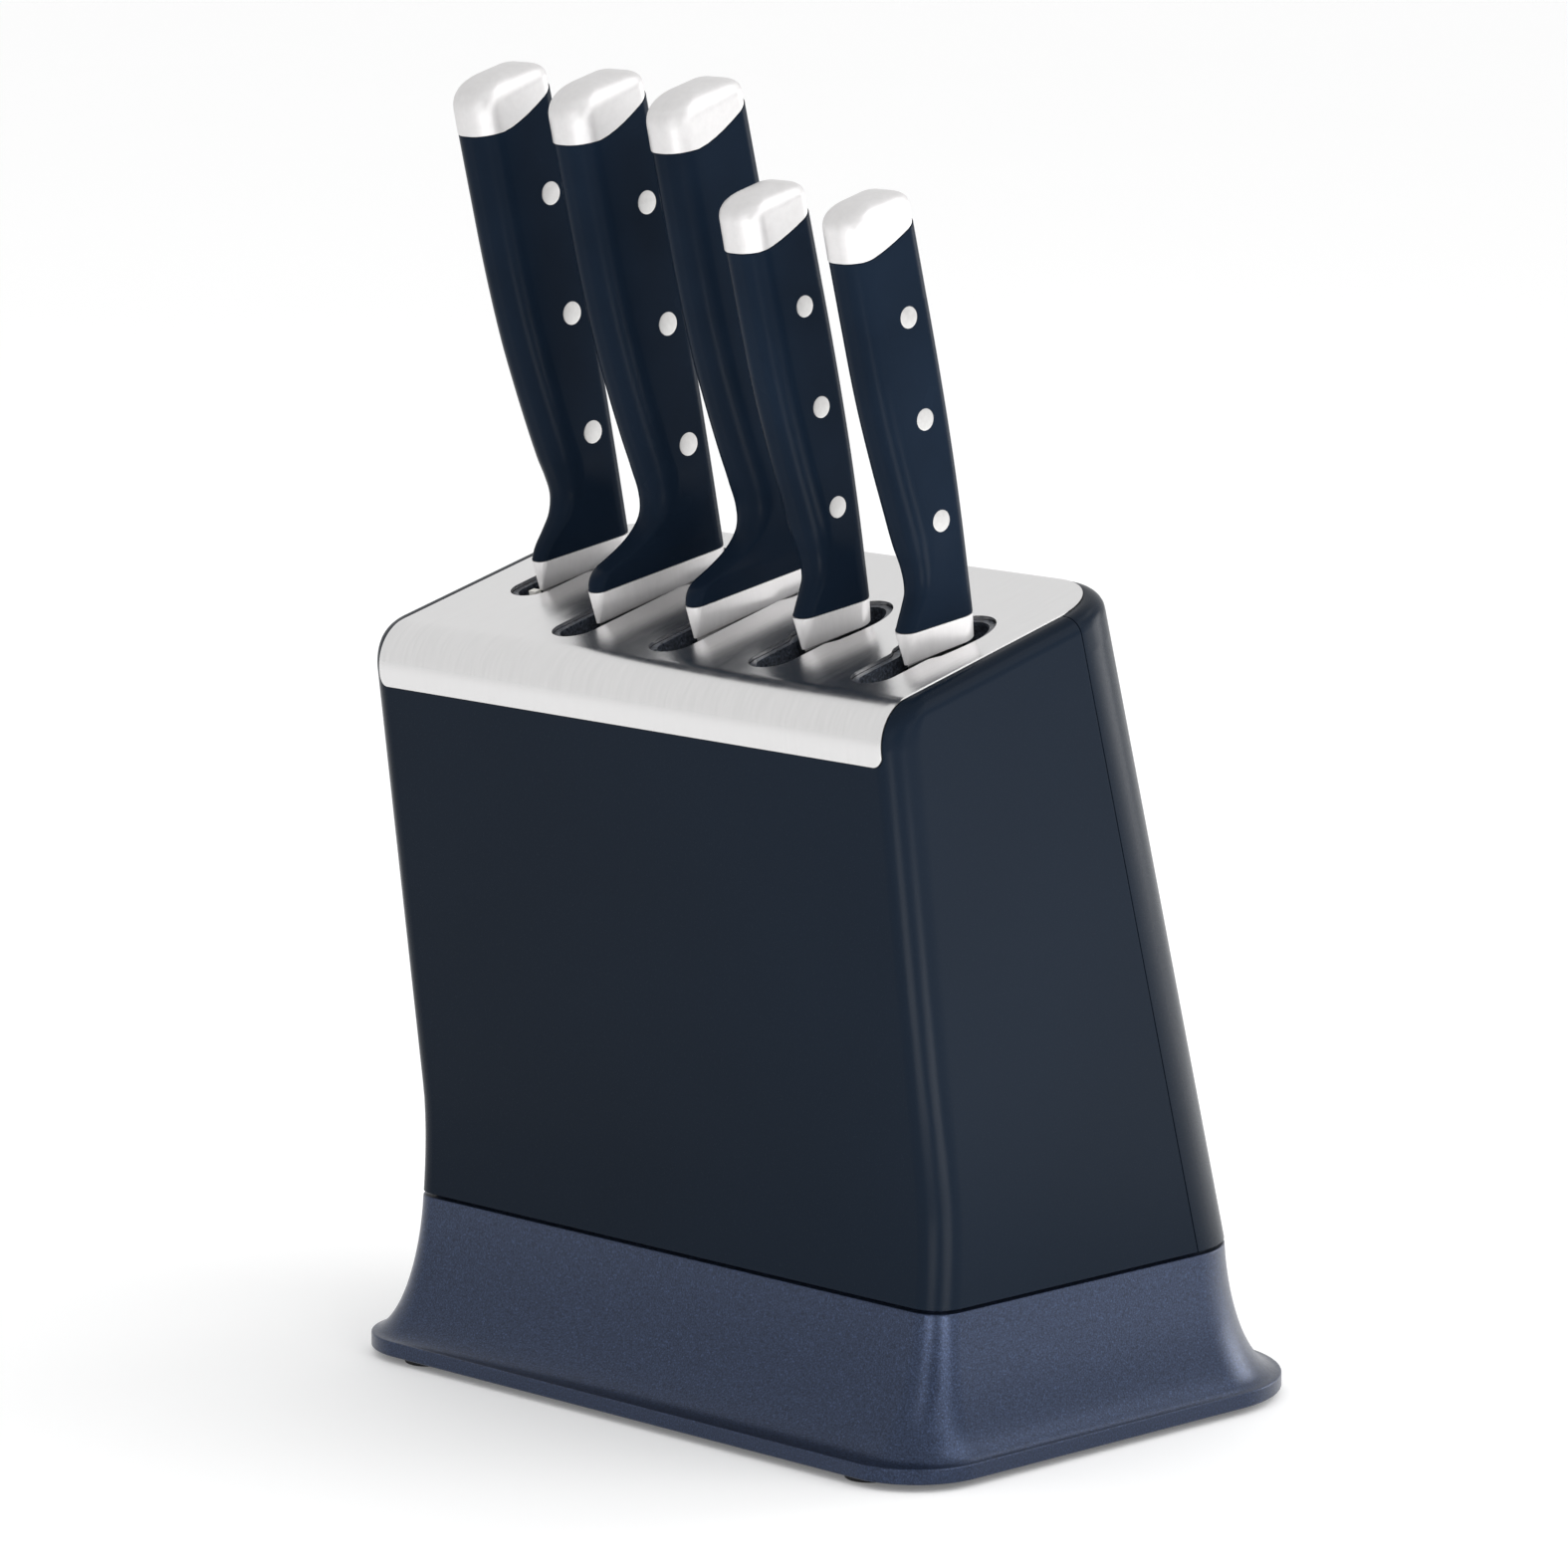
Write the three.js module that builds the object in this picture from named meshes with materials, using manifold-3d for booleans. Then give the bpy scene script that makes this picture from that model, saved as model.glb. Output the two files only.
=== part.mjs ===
// Slant-topped countertop knife block with five riveted knives and a ceramic sharpener in each slot.
// Millimetres, +Z up. The origin is on the counter, at the centre of the flared base.
// X runs along the row of slots and -Y is the front, the side that the knife handles lean towards.
import * as THREE from 'three';
import { mergeVertices } from 'three/addons/utils/BufferGeometryUtils.js';
import Module from 'manifold-3d';

const wasm = await Module();
wasm.setup();

const degrees = Math.PI / 180;
const GAP = 0.3; // clearance between two pieces that touch on the real object
const PAST = 1; // how far a cutting tool runs past the piece it cuts
const REACH = 300; // longer than any way through the block
const SCREW_SIDES = 12;

// ---- Base ----
const LIP = { halfWidth: 110, front: -80.5, back: 80.5, frontRadius: 21.5, backRadius: 38 };
const SEAM = { halfWidth: 100, front: -62.9, back: 60.4, frontRadius: 8.5, backRadius: 25 };
const LIP_BOTTOM = 2.0;
const LIP_TOP = 6.2;
const SEAM_Z = 43.3;
const SEAM_GAP = 1.0; // shadow gap between base and housing
const FLARE_LEAN = 0.12; // share of the flare that is a straight lean; the rest is a quarter ellipse
const PLINTH_WALL = 2.4;
const NECK = { height: 6, root: 6, wall: 1.8 }; // tongue that locates the housing on the base
const LEDGE = { inset: 1, low: 4, high: 1.5 }; // joins the tongue to the base's wall, below its top
const COVER_THICKNESS = 1.5; // bottom cover
const FOOT = { radius: 6.5, height: 1.7, frontX: 84, frontY: -71, backX: 74, backY: 66, sides: 20 };
const SCREW = { x: 92.5, front: -50, back: 42, shaft: 1.5, head: 3.2, headHeight: 1.1, length: 16 };
const POST = { radius: 6, top: 34 };

// ---- Housing ----
const TOP_SLOPE = 14.69 * degrees; // the top rises towards the back
const TOP_Z = 219.47; // height of the top plane above y = 0
const FRONT_LEAN = 7.4 * degrees; // the front leans out as it rises
const BACK_LEAN = 15.31 * degrees; // the back leans in as it rises
const FRONT_Y = -77.2; // front face at the steel plate's lower edge
const PLATE_LOWER_Z = 184.5;
const BEND_RADIUS = 12; // where the top turns down into the front
const EDGE_RADIUS = 4.4; // rounded top edge beside and behind the steel plate
const FRONT_SWEEP = { height: 28.5, depth: 3.95, power: 1.6 }; // the front curves out again to the seam
const HOUSING_WALL = 3.2;
const LEAST_RADIUS = { edge: 0.4, corner: 1.2 }; // inside the housing's walls
const PARTING_OFFSET = 25.5; // joint between front shell and rear cover, ahead of the back face
const PARTING_GAP = 0.35;

// ---- Steel plate and slots ----
const PLATE = { halfWidth: 94, back: 8.2, backRadius: 21.3, thickness: 1.0, cornerRadius: 3, sink: 0.05 };
const FRAME_OPENING = { halfWidth: 88, front: -67, back: 3, radius: 6 };
const COLLAR_DROP = 0.7; // collar rim below the plate's surface
const COLLAR_WALL = 1.8;
const SLOT_PITCH = 36.93;
const SLOT_HALF = 6.6; // half width of the straight part of a slot
const SLOT_CUT = [-20, 20]; // depth range, along the knife, that a slot is cut over
const COLLAR_BOTTOM = -7;
const LOBE_HALF = 9.9; // half width of the lobe that takes the bolster
const SLOT_ARC_STEPS = 3;
const SLOT_NOSE = 6.5; // length of a slot's rounded front end
const LOBE_LENGTH = 13.5; // from a lobe's widest place to its back end
const DECK_THICKNESS = 4.2; // inner frame under the steel plate
const FLANGE = 3; // how far the inner frame reaches under the housing

// ---- Knives ----
// Each knife has its own frame: u runs up along the knife, v runs towards its spine, x across it.
const KNIFE_LEAN = 12.93 * degrees;
const KNIFE_ORIGIN = { y: -6.7, z: 218.0 };
const RIVET_SIDES = 12;
const BOLSTER_TOP = 5.3;
const BLADE_ROOT = -1.6; // where a blade's stated length starts
const TANG_HALF = 1.25;
const TANG_INTO_CAP = 4;
const BLADE_INSET = { edge: 0.8, spine: 1.2 }; // from the bolster's outline to the blade's
const BLADE_SPINE_HALF = 1.1;
const BLADE_EDGE_HALF = 0.22;
const BELLY_POWER = 2.2; // how late the edge sweeps up to the tip
const BELLY_STEPS = 6;
const GRIP_U = 31; // where the heel has run out into the grip
const CAP_RISE = 20; // length over which the end cap's joint rises to the spine
const DOME = { centre: 0.37, power: 0.85, turns: [0, 20, 42, 62, 78] }; // crown of the end cap
const PLATE_AT_KNIFE = { u: -0.3, slope: 0.0307 }; // the plate's surface as u = PLATE_AT_KNIFE.u + slope * v
// Foot of the bolster: its section, and its height over the plate's surface at the back and at the nose.
const BOLSTER_FOOT = {
  in: 0.6, half: 7.3, edgeHalf: 0.7, radius: 4.2, edgeRadius: 0.65, backHeight: 0.3, noseHeight: -1.4,
};

const LARGE = {
  half: 8.2, tipHalf: 3.1, bellyRadius: 6.8, spineRadius: 4.6,
  capSpine: 130.4, capBelly: 122.6, domeSpine: 132.8, domeBelly: 128.3, top: 137.3,
  spine: [[5.3, -2.7], [30, -2.1], [62, -1.7], [95, -2.1], [135, -3.2]],
  rivetRadius: 3.45, rivets: [36, 69.2, 102.4], rivetInset: 9.6, tangHalf: 6.5,
};
const SMALL = {
  half: 7.8, tipHalf: 3.9, bellyRadius: 6.2, spineRadius: 4.3,
  capSpine: 109, capBelly: 103, domeSpine: 113, domeBelly: 110.8, top: 117.3,
  spine: [[5.3, -22.3], [30, -20.9], [52, -20.3], [80, -20.5], [113.5, -21.6]],
  rivetRadius: 3.1, rivets: [32, 58.8, 85.6], rivetInset: 10, tangHalf: 5.6,
};
// Front edge of each handle as [u, v], from the bolster up to the end cap.
const WIDE_HEEL = [[5.3, -46.6], [8, -45.7], [10.2, -43], [12, -36.5], [14.5, -29.5], [18.5, -23.8],
  [24, -21.9], [31, -22.6], [40, -24.2], [52, -26], [66, -27.7], [85, -28.9], [104, -29.3], [135, -29.7]];
const NARROW_HEEL = [[5.3, -32.4], [7, -31.6], [9, -30], [11.8, -26.8], [15.3, -23.2], [20, -21.1],
  [25, -21.3], [31, -22.6], [40, -24.2], [52, -26], [66, -27.7], [85, -28.9], [104, -29.3], [135, -29.7]];
const SMALL_HEEL = [[5.3, -43.6], [7.5, -42.2], [10.5, -40], [14, -37.8], [19.5, -37.2], [26, -38.1],
  [34, -39.1], [48, -40.9], [66, -42.6], [85, -43.3], [113.5, -44]];

const KNIVES = [
  { name: 'bread_knife', size: LARGE, front: NARROW_HEEL, slot: { front: -40.8, neck: -20.6, back: 6.3 },
    blade: { length: 200, tip: 26, drop: 0.55 }, ceramicTip: -1.9 },
  { name: 'santoku_knife', size: LARGE, front: WIDE_HEEL, slot: { front: -60.6, neck: -20.6, back: 6.3 },
    blade: { length: 178, tip: 55, drop: 0.35 } },
  { name: 'chef_knife', size: LARGE, front: WIDE_HEEL, slot: { front: -60.6, neck: -20.6, back: 6.3 },
    blade: { length: 200, tip: 150, drop: 0.85 } },
  { name: 'utility_knife', size: SMALL, front: SMALL_HEEL, slot: { front: -60.6, neck: -41.3, back: -12.6 },
    blade: { length: 140, tip: 70, drop: 0.8 } },
  { name: 'paring_knife', size: SMALL, front: SMALL_HEEL, slot: { front: -60.6, neck: -41.3, back: -12.6 },
    blade: { length: 90, tip: 55, drop: 0.7 } },
];

// ---- Guides and sharpeners under the slots ----
const GUIDE = { inner: 4.2, wall: 1.3, top: -8.5, ahead: 7.6, behind: 3.2, below: 2 };
const SHARPENER = {
  half: 3.7, front: 5.2, shoulder: -9, bottom: -26, notch: 2.2, notchHalf: 1.7, apex: 1,
  tipHalf: 1.3, tipFront: 3.9, tipBack: 1.9,
};

const paint = {
  shell: { color: 0x242d3a, roughness: 0.5, metalness: 0 },
  plinth: { color: 0x3d4759, roughness: 0.45, metalness: 0.4 },
  steel: { color: 0xc9c9c8, roughness: 0.3, metalness: 1 },
  insert: { color: 0x1b212b, roughness: 0.8, metalness: 0 },
  handle: { color: 0x1d2636, roughness: 0.35, metalness: 0 },
  ceramic: { color: 0xf1eee6, roughness: 0.6, metalness: 0 },
  rubber: { color: 0x1c1f24, roughness: 0.9, metalness: 0 },
};

// ================= Helpers =================

const lerp = (a, b, t) => a + (b - a) * t;

// Value at `u` of a smooth curve through [u, value] points (Catmull-Rom on uneven knots).
function curveAt(points, u) {
  const last = points.length - 1;
  if (u <= points[0][0]) return points[0][1];
  if (u >= points[last][0]) return points[last][1];
  const i = points.findIndex(([knot]) => knot > u) - 1;
  const slope = (k) => {
    const a = points[Math.max(k - 1, 0)];
    const b = points[Math.min(k + 1, last)];
    return (b[1] - a[1]) / (b[0] - a[0]);
  };
  const [u0, v0] = points[i];
  const [u1, v1] = points[i + 1];
  const span = u1 - u0;
  const t = (u - u0) / span;
  const h = t * t * (3 - 2 * t);
  return lerp(v0, v1, h) + span * (t * (1 - t) ** 2 * slope(i) - t * t * (1 - t) * slope(i + 1));
}

function toSolid(geometry) {
  const bare = geometry.clone();
  bare.deleteAttribute('normal');
  bare.deleteAttribute('uv');
  const merged = mergeVertices(bare, 1e-4);
  return new wasm.Manifold(new wasm.Mesh({
    numProp: 3,
    vertProperties: new Float32Array(merged.attributes.position.array),
    triVerts: new Uint32Array(merged.index.array),
  }));
}

function toGeometry(solid) {
  const mesh = solid.getMesh();
  const geometry = new THREE.BufferGeometry();
  geometry.setAttribute('position', new THREE.BufferAttribute(new Float32Array(mesh.vertProperties), 3));
  geometry.setIndex(new THREE.BufferAttribute(new Uint32Array(mesh.triVerts), 1));
  geometry.computeVertexNormals();
  return geometry;
}

// Closed surface through rings of equal length, counter-clockwise seen from the last ring's side.
function loft(rings) {
  const count = rings[0].length;
  const positions = rings.flat().flatMap((p) => [p.x, p.y, p.z]);
  const faces = [];
  for (let r = 0; r < rings.length - 1; r++) {
    for (let i = 0; i < count; i++) {
      const a = r * count + i;
      const b = r * count + ((i + 1) % count);
      faces.push(a, b, b + count, a, b + count, a + count);
    }
  }
  const end = (rings.length - 1) * count;
  for (let i = 1; i < count - 1; i++) {
    faces.push(0, i + 1, i);
    faces.push(end, end + i, end + i + 1);
  }
  const geometry = new THREE.BufferGeometry();
  geometry.setAttribute('position', new THREE.Float32BufferAttribute(positions, 3));
  geometry.setIndex(faces);
  return toSolid(geometry);
}

// Straight prism of a closed outline of [x, y] points between two heights.
function prism(outline, low, high) {
  const shape = new THREE.Shape(outline.map(([x, y]) => new THREE.Vector2(x, y)));
  const geometry = new THREE.ExtrudeGeometry(shape, { depth: high - low, bevelEnabled: false });
  return toSolid(geometry.translate(0, 0, low));
}

// Prism along X, centred on x = 0, of a closed outline of points in the plane that faces along X.
function acrossX(outline, depth) {
  const shape = new THREE.Shape(outline.map(([a, b]) => new THREE.Vector2(a, b)));
  const slab = new THREE.ExtrudeGeometry(shape, { depth, bevelEnabled: false });
  const turned = new THREE.Matrix4().set(0, 0, 1, -depth / 2, 1, 0, 0, 0, 0, 1, 0, 0, 0, 0, 0, 1);
  return toSolid(slab.applyMatrix4(turned));
}

// Upright cylinder centred on (x, y).
function post(radius, x, y, low, high, sides = 16) {
  const geometry = new THREE.CylinderGeometry(radius, radius, high - low, sides);
  return toSolid(geometry.rotateX(Math.PI / 2).translate(x, y, (low + high) / 2));
}

// Rounded rectangle with its own radius at the front and at the back, counter-clockwise.
function roundedOutline({ halfWidth, front, back, frontRadius, backRadius }, segments = 4) {
  const corners = [
    [halfWidth - frontRadius, front + frontRadius, frontRadius, -90],
    [halfWidth - backRadius, back - backRadius, backRadius, 0],
    [-halfWidth + backRadius, back - backRadius, backRadius, 90],
    [-halfWidth + frontRadius, front + frontRadius, frontRadius, 180],
  ];
  const points = [];
  for (const [cx, cy, radius, start] of corners) {
    for (let i = 0; i <= segments; i++) {
      const angle = (start + (90 * i) / segments) * degrees;
      points.push([cx + radius * Math.cos(angle), cy + radius * Math.sin(angle)]);
    }
  }
  return points;
}

const inset = (box, t) => ({
  halfWidth: box.halfWidth - t,
  front: box.front + t,
  back: box.back - t,
  frontRadius: Math.max(box.frontRadius - t, 1),
  backRadius: Math.max(box.backRadius - t, 1),
});

const blend = (a, b, t) => Object.fromEntries(Object.keys(a).map((key) => [key, lerp(a[key], b[key], t)]));

const flatRing = (box, z) => roundedOutline(box).map(([x, y]) => new THREE.Vector3(x, y, z));

function cutAll(solid, tools) {
  return tools.reduce((rest, tool) => rest.subtract(tool), solid);
}

function joinAll(solids) {
  return solids.reduce((joined, next) => joined.add(next));
}

const group = new THREE.Group();

function addMesh(parent, name, solid, finish) {
  const mesh = new THREE.Mesh(toGeometry(solid), new THREE.MeshStandardMaterial(finish));
  mesh.name = name;
  parent.add(mesh);
}

// ================= Base =================

// Share of the full flare at a height.
function flareShare(z) {
  const t = Math.min(Math.max((z - LIP_TOP) / (SEAM_Z - LIP_TOP), 0), 1);
  return lerp(1 - Math.sqrt(1 - (1 - t) ** 2), 1 - t, FLARE_LEAN);
}

// Outline of the base at a height, drawn in by a wall thickness.
const baseOutline = (z, wall) => inset(blend(SEAM, LIP, flareShare(z)), wall);

const FLARE_STEPS = [0, 0.03, 0.1, 0.22, 0.4, 0.65, 1]; // closer together where the flare is tightest
const coverOutline = (clearance) => baseOutline(LIP_BOTTOM + PLINTH_WALL, PLINTH_WALL + clearance);

function plinthSolid() {
  const top = SEAM_Z - SEAM_GAP / 2;
  const outer = [flatRing(LIP, LIP_BOTTOM)];
  for (const step of FLARE_STEPS) {
    const z = lerp(LIP_TOP, top, step);
    outer.push(flatRing(baseOutline(z, 0), z));
  }
  const inner = [flatRing(coverOutline(0), LIP_BOTTOM - PAST)];
  for (const step of FLARE_STEPS) {
    const z = lerp(LIP_TOP, top, step);
    inner.push(flatRing(baseOutline(z, PLINTH_WALL), z - PLINTH_WALL * (1 - step)));
  }
  inner.push(flatRing(inset(SEAM, PLINTH_WALL), top + PAST));
  const neckTop = top + SEAM_GAP + NECK.height;
  const neckBox = inset({ ...SEAM, front: frontY(neckTop), back: backY(neckTop) }, HOUSING_WALL + GAP);
  const neckHole = prism(roundedOutline(inset(neckBox, NECK.wall)), top - NECK.root - PAST, neckTop + PAST);
  const neck = prism(roundedOutline(neckBox), top - NECK.root, neckTop);
  const ledge = prism(roundedOutline(inset(SEAM, LEDGE.inset)), top - LEDGE.low, top - LEDGE.high);
  const tongue = neck.add(ledge).subtract(neckHole);
  const form = loft(outer);
  const shell = form.subtract(loft(inner));
  const postBottom = LIP_BOTTOM + COVER_THICKNESS + GAP;
  const posts = screwPlaces().map(([x, y]) => post(POST.radius, x, y, postBottom, POST.top).intersect(form));
  return cutAll(joinAll([shell, tongue, ...posts]), screwHoles());
}

function screwPlaces() {
  const { x, front, back } = SCREW;
  return [[-x, front], [x, front], [x, back], [-x, back]];
}

const screwHoles = () => screwPlaces()
  .map(([x, y]) => post(SCREW.shaft + GAP, x, y, 0, SCREW.length + PAST, SCREW_SIDES));

function bottomCoverSolid() {
  const sheet = prism(roundedOutline(coverOutline(GAP)), LIP_BOTTOM, LIP_BOTTOM + COVER_THICKNESS);
  return cutAll(sheet, screwHoles());
}

function screwSolid(x, y) {
  const headTop = LIP_BOTTOM - GAP;
  const head = post(SCREW.head, x, y, headTop - SCREW.headHeight, headTop, SCREW_SIDES);
  return head.add(post(SCREW.shaft, x, y, headTop - SCREW.headHeight / 2, SCREW.length, SCREW_SIDES));
}

// ================= Housing =================

const topPlaneZ = (y, depth) => TOP_Z + Math.tan(TOP_SLOPE) * y - depth / Math.cos(TOP_SLOPE);

function frontY(z) {
  const straight = FRONT_Y + (PLATE_LOWER_Z - z) * Math.tan(FRONT_LEAN);
  const below = Math.max(SEAM_Z + FRONT_SWEEP.height - z, 0) / FRONT_SWEEP.height;
  return straight - FRONT_SWEEP.depth * below ** FRONT_SWEEP.power;
}

const backY = (z) => SEAM.back - (z - SEAM_Z) * Math.tan(BACK_LEAN);

// Centre of the bend, in the YZ plane: BEND_RADIUS inside both the top plane and the front face.
const bend = (() => {
  const rise = Math.tan(TOP_SLOPE);
  const run = Math.tan(FRONT_LEAN);
  const topZ = TOP_Z - BEND_RADIUS / Math.cos(TOP_SLOPE);
  const atZero = FRONT_Y + PLATE_LOWER_Z * run + BEND_RADIUS / Math.cos(FRONT_LEAN);
  const y = (atZero - run * topZ) / (1 + run * rise);
  return { y, z: topZ + rise * y, turn: Math.PI / 2 - TOP_SLOPE + FRONT_LEAN };
})();

// Point on a line z = height + slope * y that meets a leaning face y = face(z).
function meet(face, height, slope) {
  let y = face(height);
  for (let round = 0; round < 12; round++) y = face(height + slope * y);
  return y;
}

// Shares of the height from the bottom up to the bend, and of the bend's turn from its start up to the top.
const LOWER_STEPS = [0, 0.06, 0.12, 0.22, 0.5, 1];
const BEND_STEPS = [0.72, 0.55, 0.4, 0.25, 0.12, 0];

// The housing's outer form, drawn in by `wall` on every side. It starts at the height `low`.
function housingForm(wall, low) {
  const radius = BEND_RADIUS - wall;
  const edge = Math.max(EDGE_RADIUS - wall, LEAST_RADIUS.edge);
  const ring = (front, back, shrink, height, slope) => {
    const box = {
      halfWidth: SEAM.halfWidth - wall - shrink,
      front,
      back,
      frontRadius: Math.max(SEAM.frontRadius - wall - shrink, LEAST_RADIUS.corner),
      backRadius: Math.max(SEAM.backRadius - wall - shrink, LEAST_RADIUS.corner),
    };
    return roundedOutline(box).map(([x, y]) => new THREE.Vector3(x, y, height + slope * y));
  };
  const rise = Math.tan(TOP_SLOPE);
  const bendDepth = radius * (1 - Math.cos(bend.turn));
  const rings = LOWER_STEPS.map((step) => {
    const height = lerp(low, topPlaneZ(0, wall + bendDepth), step);
    const slope = rise * step;
    return ring(meet(frontY, height, slope) + wall, meet(backY, height, slope) - wall, 0, height, slope);
  });
  for (const step of BEND_STEPS) {
    const angle = bend.turn * step;
    const depth = radius * (1 - Math.cos(angle));
    const shrink = depth < edge ? edge - Math.sqrt(edge ** 2 - (edge - depth) ** 2) : 0;
    const height = topPlaneZ(0, wall + depth);
    const front = bend.y - radius * Math.sin(angle + TOP_SLOPE);
    rings.push(ring(front, meet(backY, height, rise) - wall - shrink, shrink, height, rise));
  }
  return loft(rings);
}

// All space over the steel plate's area, rounded at its corners, grown by `grow`.
function plateArea(grow) {
  const plan = roundedOutline({
    halfWidth: PLATE.halfWidth + grow,
    front: FRONT_Y - REACH,
    back: PLATE.back + grow,
    frontRadius: 1,
    backRadius: PLATE.backRadius + grow,
  }, 6);
  const face = roundedOutline({
    halfWidth: PLATE.halfWidth + grow,
    front: PLATE_LOWER_Z - grow,
    back: REACH,
    frontRadius: PLATE.cornerRadius + grow,
    backRadius: 1,
  }, 3);
  const shape = new THREE.Shape(face.map(([x, z]) => new THREE.Vector2(x, z)));
  const slab = new THREE.ExtrudeGeometry(shape, { depth: REACH, bevelEnabled: false });
  return prism(plan, 0, REACH).intersect(toSolid(slab.rotateX(Math.PI / 2).translate(0, REACH / 2, 0)));
}

const housingLow = SEAM_Z + SEAM_GAP / 2;
const belowHousing = housingLow - PAST;

// Everything ahead of (side = -1) or behind (side = 1) the joint that runs parallel to the back face.
function partingHalf(side) {
  const joint = (z) => backY(z) - PARTING_OFFSET + (side * PARTING_GAP) / 2;
  const far = side * REACH;
  return acrossX([[joint(0), 0], [joint(REACH), REACH], [far, REACH], [far, 0]], REACH);
}

// Upright prism over the hole in the housing's top that takes the inner frame.
function openingPrism(grow) {
  const { halfWidth, front, back, radius } = FRAME_OPENING;
  const box = { halfWidth, front, back, frontRadius: radius, backRadius: radius };
  return prism(roundedOutline(inset(box, -grow)), PLATE_LOWER_Z, REACH);
}

function housingSolid() {
  const recess = plateArea(GAP).subtract(housingForm(PLATE.thickness + GAP, belowHousing));
  const hollow = housingForm(HOUSING_WALL, belowHousing);
  return cutAll(housingForm(0, housingLow), [hollow, recess, openingPrism(0)]);
}

// ================= Slots =================

const knifeX = (index) => (index - (KNIVES.length - 1) / 2) * SLOT_PITCH;

// Puts a solid that is drawn in a knife's frame (x, v, u) at that knife's place.
function atKnife(solid, index) {
  const { y, z } = KNIFE_ORIGIN;
  return solid.rotate([KNIFE_LEAN / degrees, 0, 0]).translate([knifeX(index), y, z]);
}

// Outline of a slot: a straight front part and a wider lobe behind it, drawn in by `t`.
function slotOutline({ front, neck, back }, t) {
  const half = SLOT_HALF - t;
  const lobe = LOBE_HALF - t;
  const nose = SLOT_NOSE - t;
  const widest = back - LOBE_LENGTH;
  const right = [];
  for (let i = 0; i <= SLOT_ARC_STEPS; i++) {
    const angle = (i / SLOT_ARC_STEPS) * (Math.PI / 2);
    right.push([half * Math.sin(angle), front + t + nose * (1 - Math.cos(angle))]);
  }
  right.push([half, neck + t / 2]);
  right.push([lerp(half, lobe, 0.62), neck + 3 + t / 3]);
  right.push([lerp(half, lobe, 0.85), lerp(neck, widest, 0.55)]);
  for (let i = 0; i <= SLOT_ARC_STEPS; i++) {
    const angle = (i / SLOT_ARC_STEPS) * (Math.PI / 2);
    right.push([lobe * Math.cos(angle), lerp(widest, back - t, Math.sin(angle))]);
  }
  const left = right.slice(1, -1).reverse().map(([x, v]) => [-x, v]);
  return [...right, ...left];
}

function slotPrism(index, t, low, high) {
  return atKnife(prism(slotOutline(KNIVES[index].slot, t), low, high), index);
}

function plateSolid() {
  const sheet = housingForm(PLATE.sink, housingLow).subtract(housingForm(PLATE.thickness, belowHousing));
  return cutAll(sheet.intersect(plateArea(0)), KNIVES.map((_, i) => slotPrism(i, 0, ...SLOT_CUT)));
}

function slotFrameSolid() {
  const layer = (top, bottom) => housingForm(top, housingLow).subtract(housingForm(bottom, belowHousing));
  const deckTop = PLATE.thickness + GAP;
  const deckBottom = deckTop + DECK_THICKNESS;
  const deck = layer(deckTop, deckBottom).intersect(openingPrism(-GAP));
  const flange = layer(HOUSING_WALL + GAP, deckBottom).intersect(openingPrism(FLANGE));
  const belowRim = housingForm(COLLAR_DROP, housingLow);
  const collars = KNIVES.map((_, i) => slotPrism(i, GAP, COLLAR_BOTTOM, SLOT_CUT[1]).intersect(belowRim));
  const openings = KNIVES.map((_, i) => slotPrism(i, GAP + COLLAR_WALL, ...SLOT_CUT));
  return cutAll(joinAll([deck, flange, ...collars]), openings);
}

// ================= Knives =================

const EGG_ARC_STEPS = 3;

const spineV = (size, u) => curveAt(size.spine, u);

// Egg-shaped section of a handle: `back` and `front` are its ends, with half widths and end radii.
function eggRing({ back, front, backHalf, frontHalf, backRadius, frontRadius }, u) {
  const rb = Math.min(backRadius, backHalf);
  const rf = Math.min(frontRadius, frontHalf);
  const a = { x: backHalf - rb, v: back - rb, r: rb };
  const b = { x: frontHalf - rf, v: front + rf, r: rf };
  const distance = Math.hypot(a.x - b.x, a.v - b.v);
  const side = Math.atan2(a.v - b.v, a.x - b.x) - Math.acos((b.r - a.r) / distance);
  const arc = (c, from, to) => Array.from({ length: EGG_ARC_STEPS + 1 }, (_, i) => {
    const angle = lerp(from, to, i / EGG_ARC_STEPS);
    return [c.x + c.r * Math.cos(angle), c.v + c.r * Math.sin(angle)];
  });
  const right = [...arc(b, -Math.PI / 2, side), ...arc(a, side, Math.PI / 2)];
  const left = [...right].reverse().map(([x, v]) => [-x, v]);
  return [...right, ...left].map(([x, v]) => new THREE.Vector3(x, v, u));
}

// Section of the whole handle at a height: the heel thins towards its front.
function handleSection(knife, u) {
  const { size } = knife;
  const t = Math.min(Math.max((GRIP_U - u) / (GRIP_U - BOLSTER_TOP), 0), 1);
  const heel = t * t * (3 - 2 * t);
  return {
    back: spineV(size, u),
    front: curveAt(knife.front, u),
    backHalf: size.half,
    frontHalf: lerp(size.half - 0.5, size.tipHalf, heel),
    backRadius: size.spineRadius,
    frontRadius: lerp(size.bellyRadius, size.tipHalf - 0.4, heel),
  };
}

const HANDLE_STEPS = [BOLSTER_TOP, 7.8, 10.2, 12.5, 16, 20, 28, 40, 62]; // heights of the sections

// The joint between handle and end cap: level at the belly, rising to the spine.
function capJoint({ size }, v) {
  const rise = Math.min(Math.max((v - spineV(size, size.top)) / CAP_RISE + 1, 0), 1);
  return lerp(size.capBelly, size.capSpine, rise ** 1.5);
}

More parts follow.
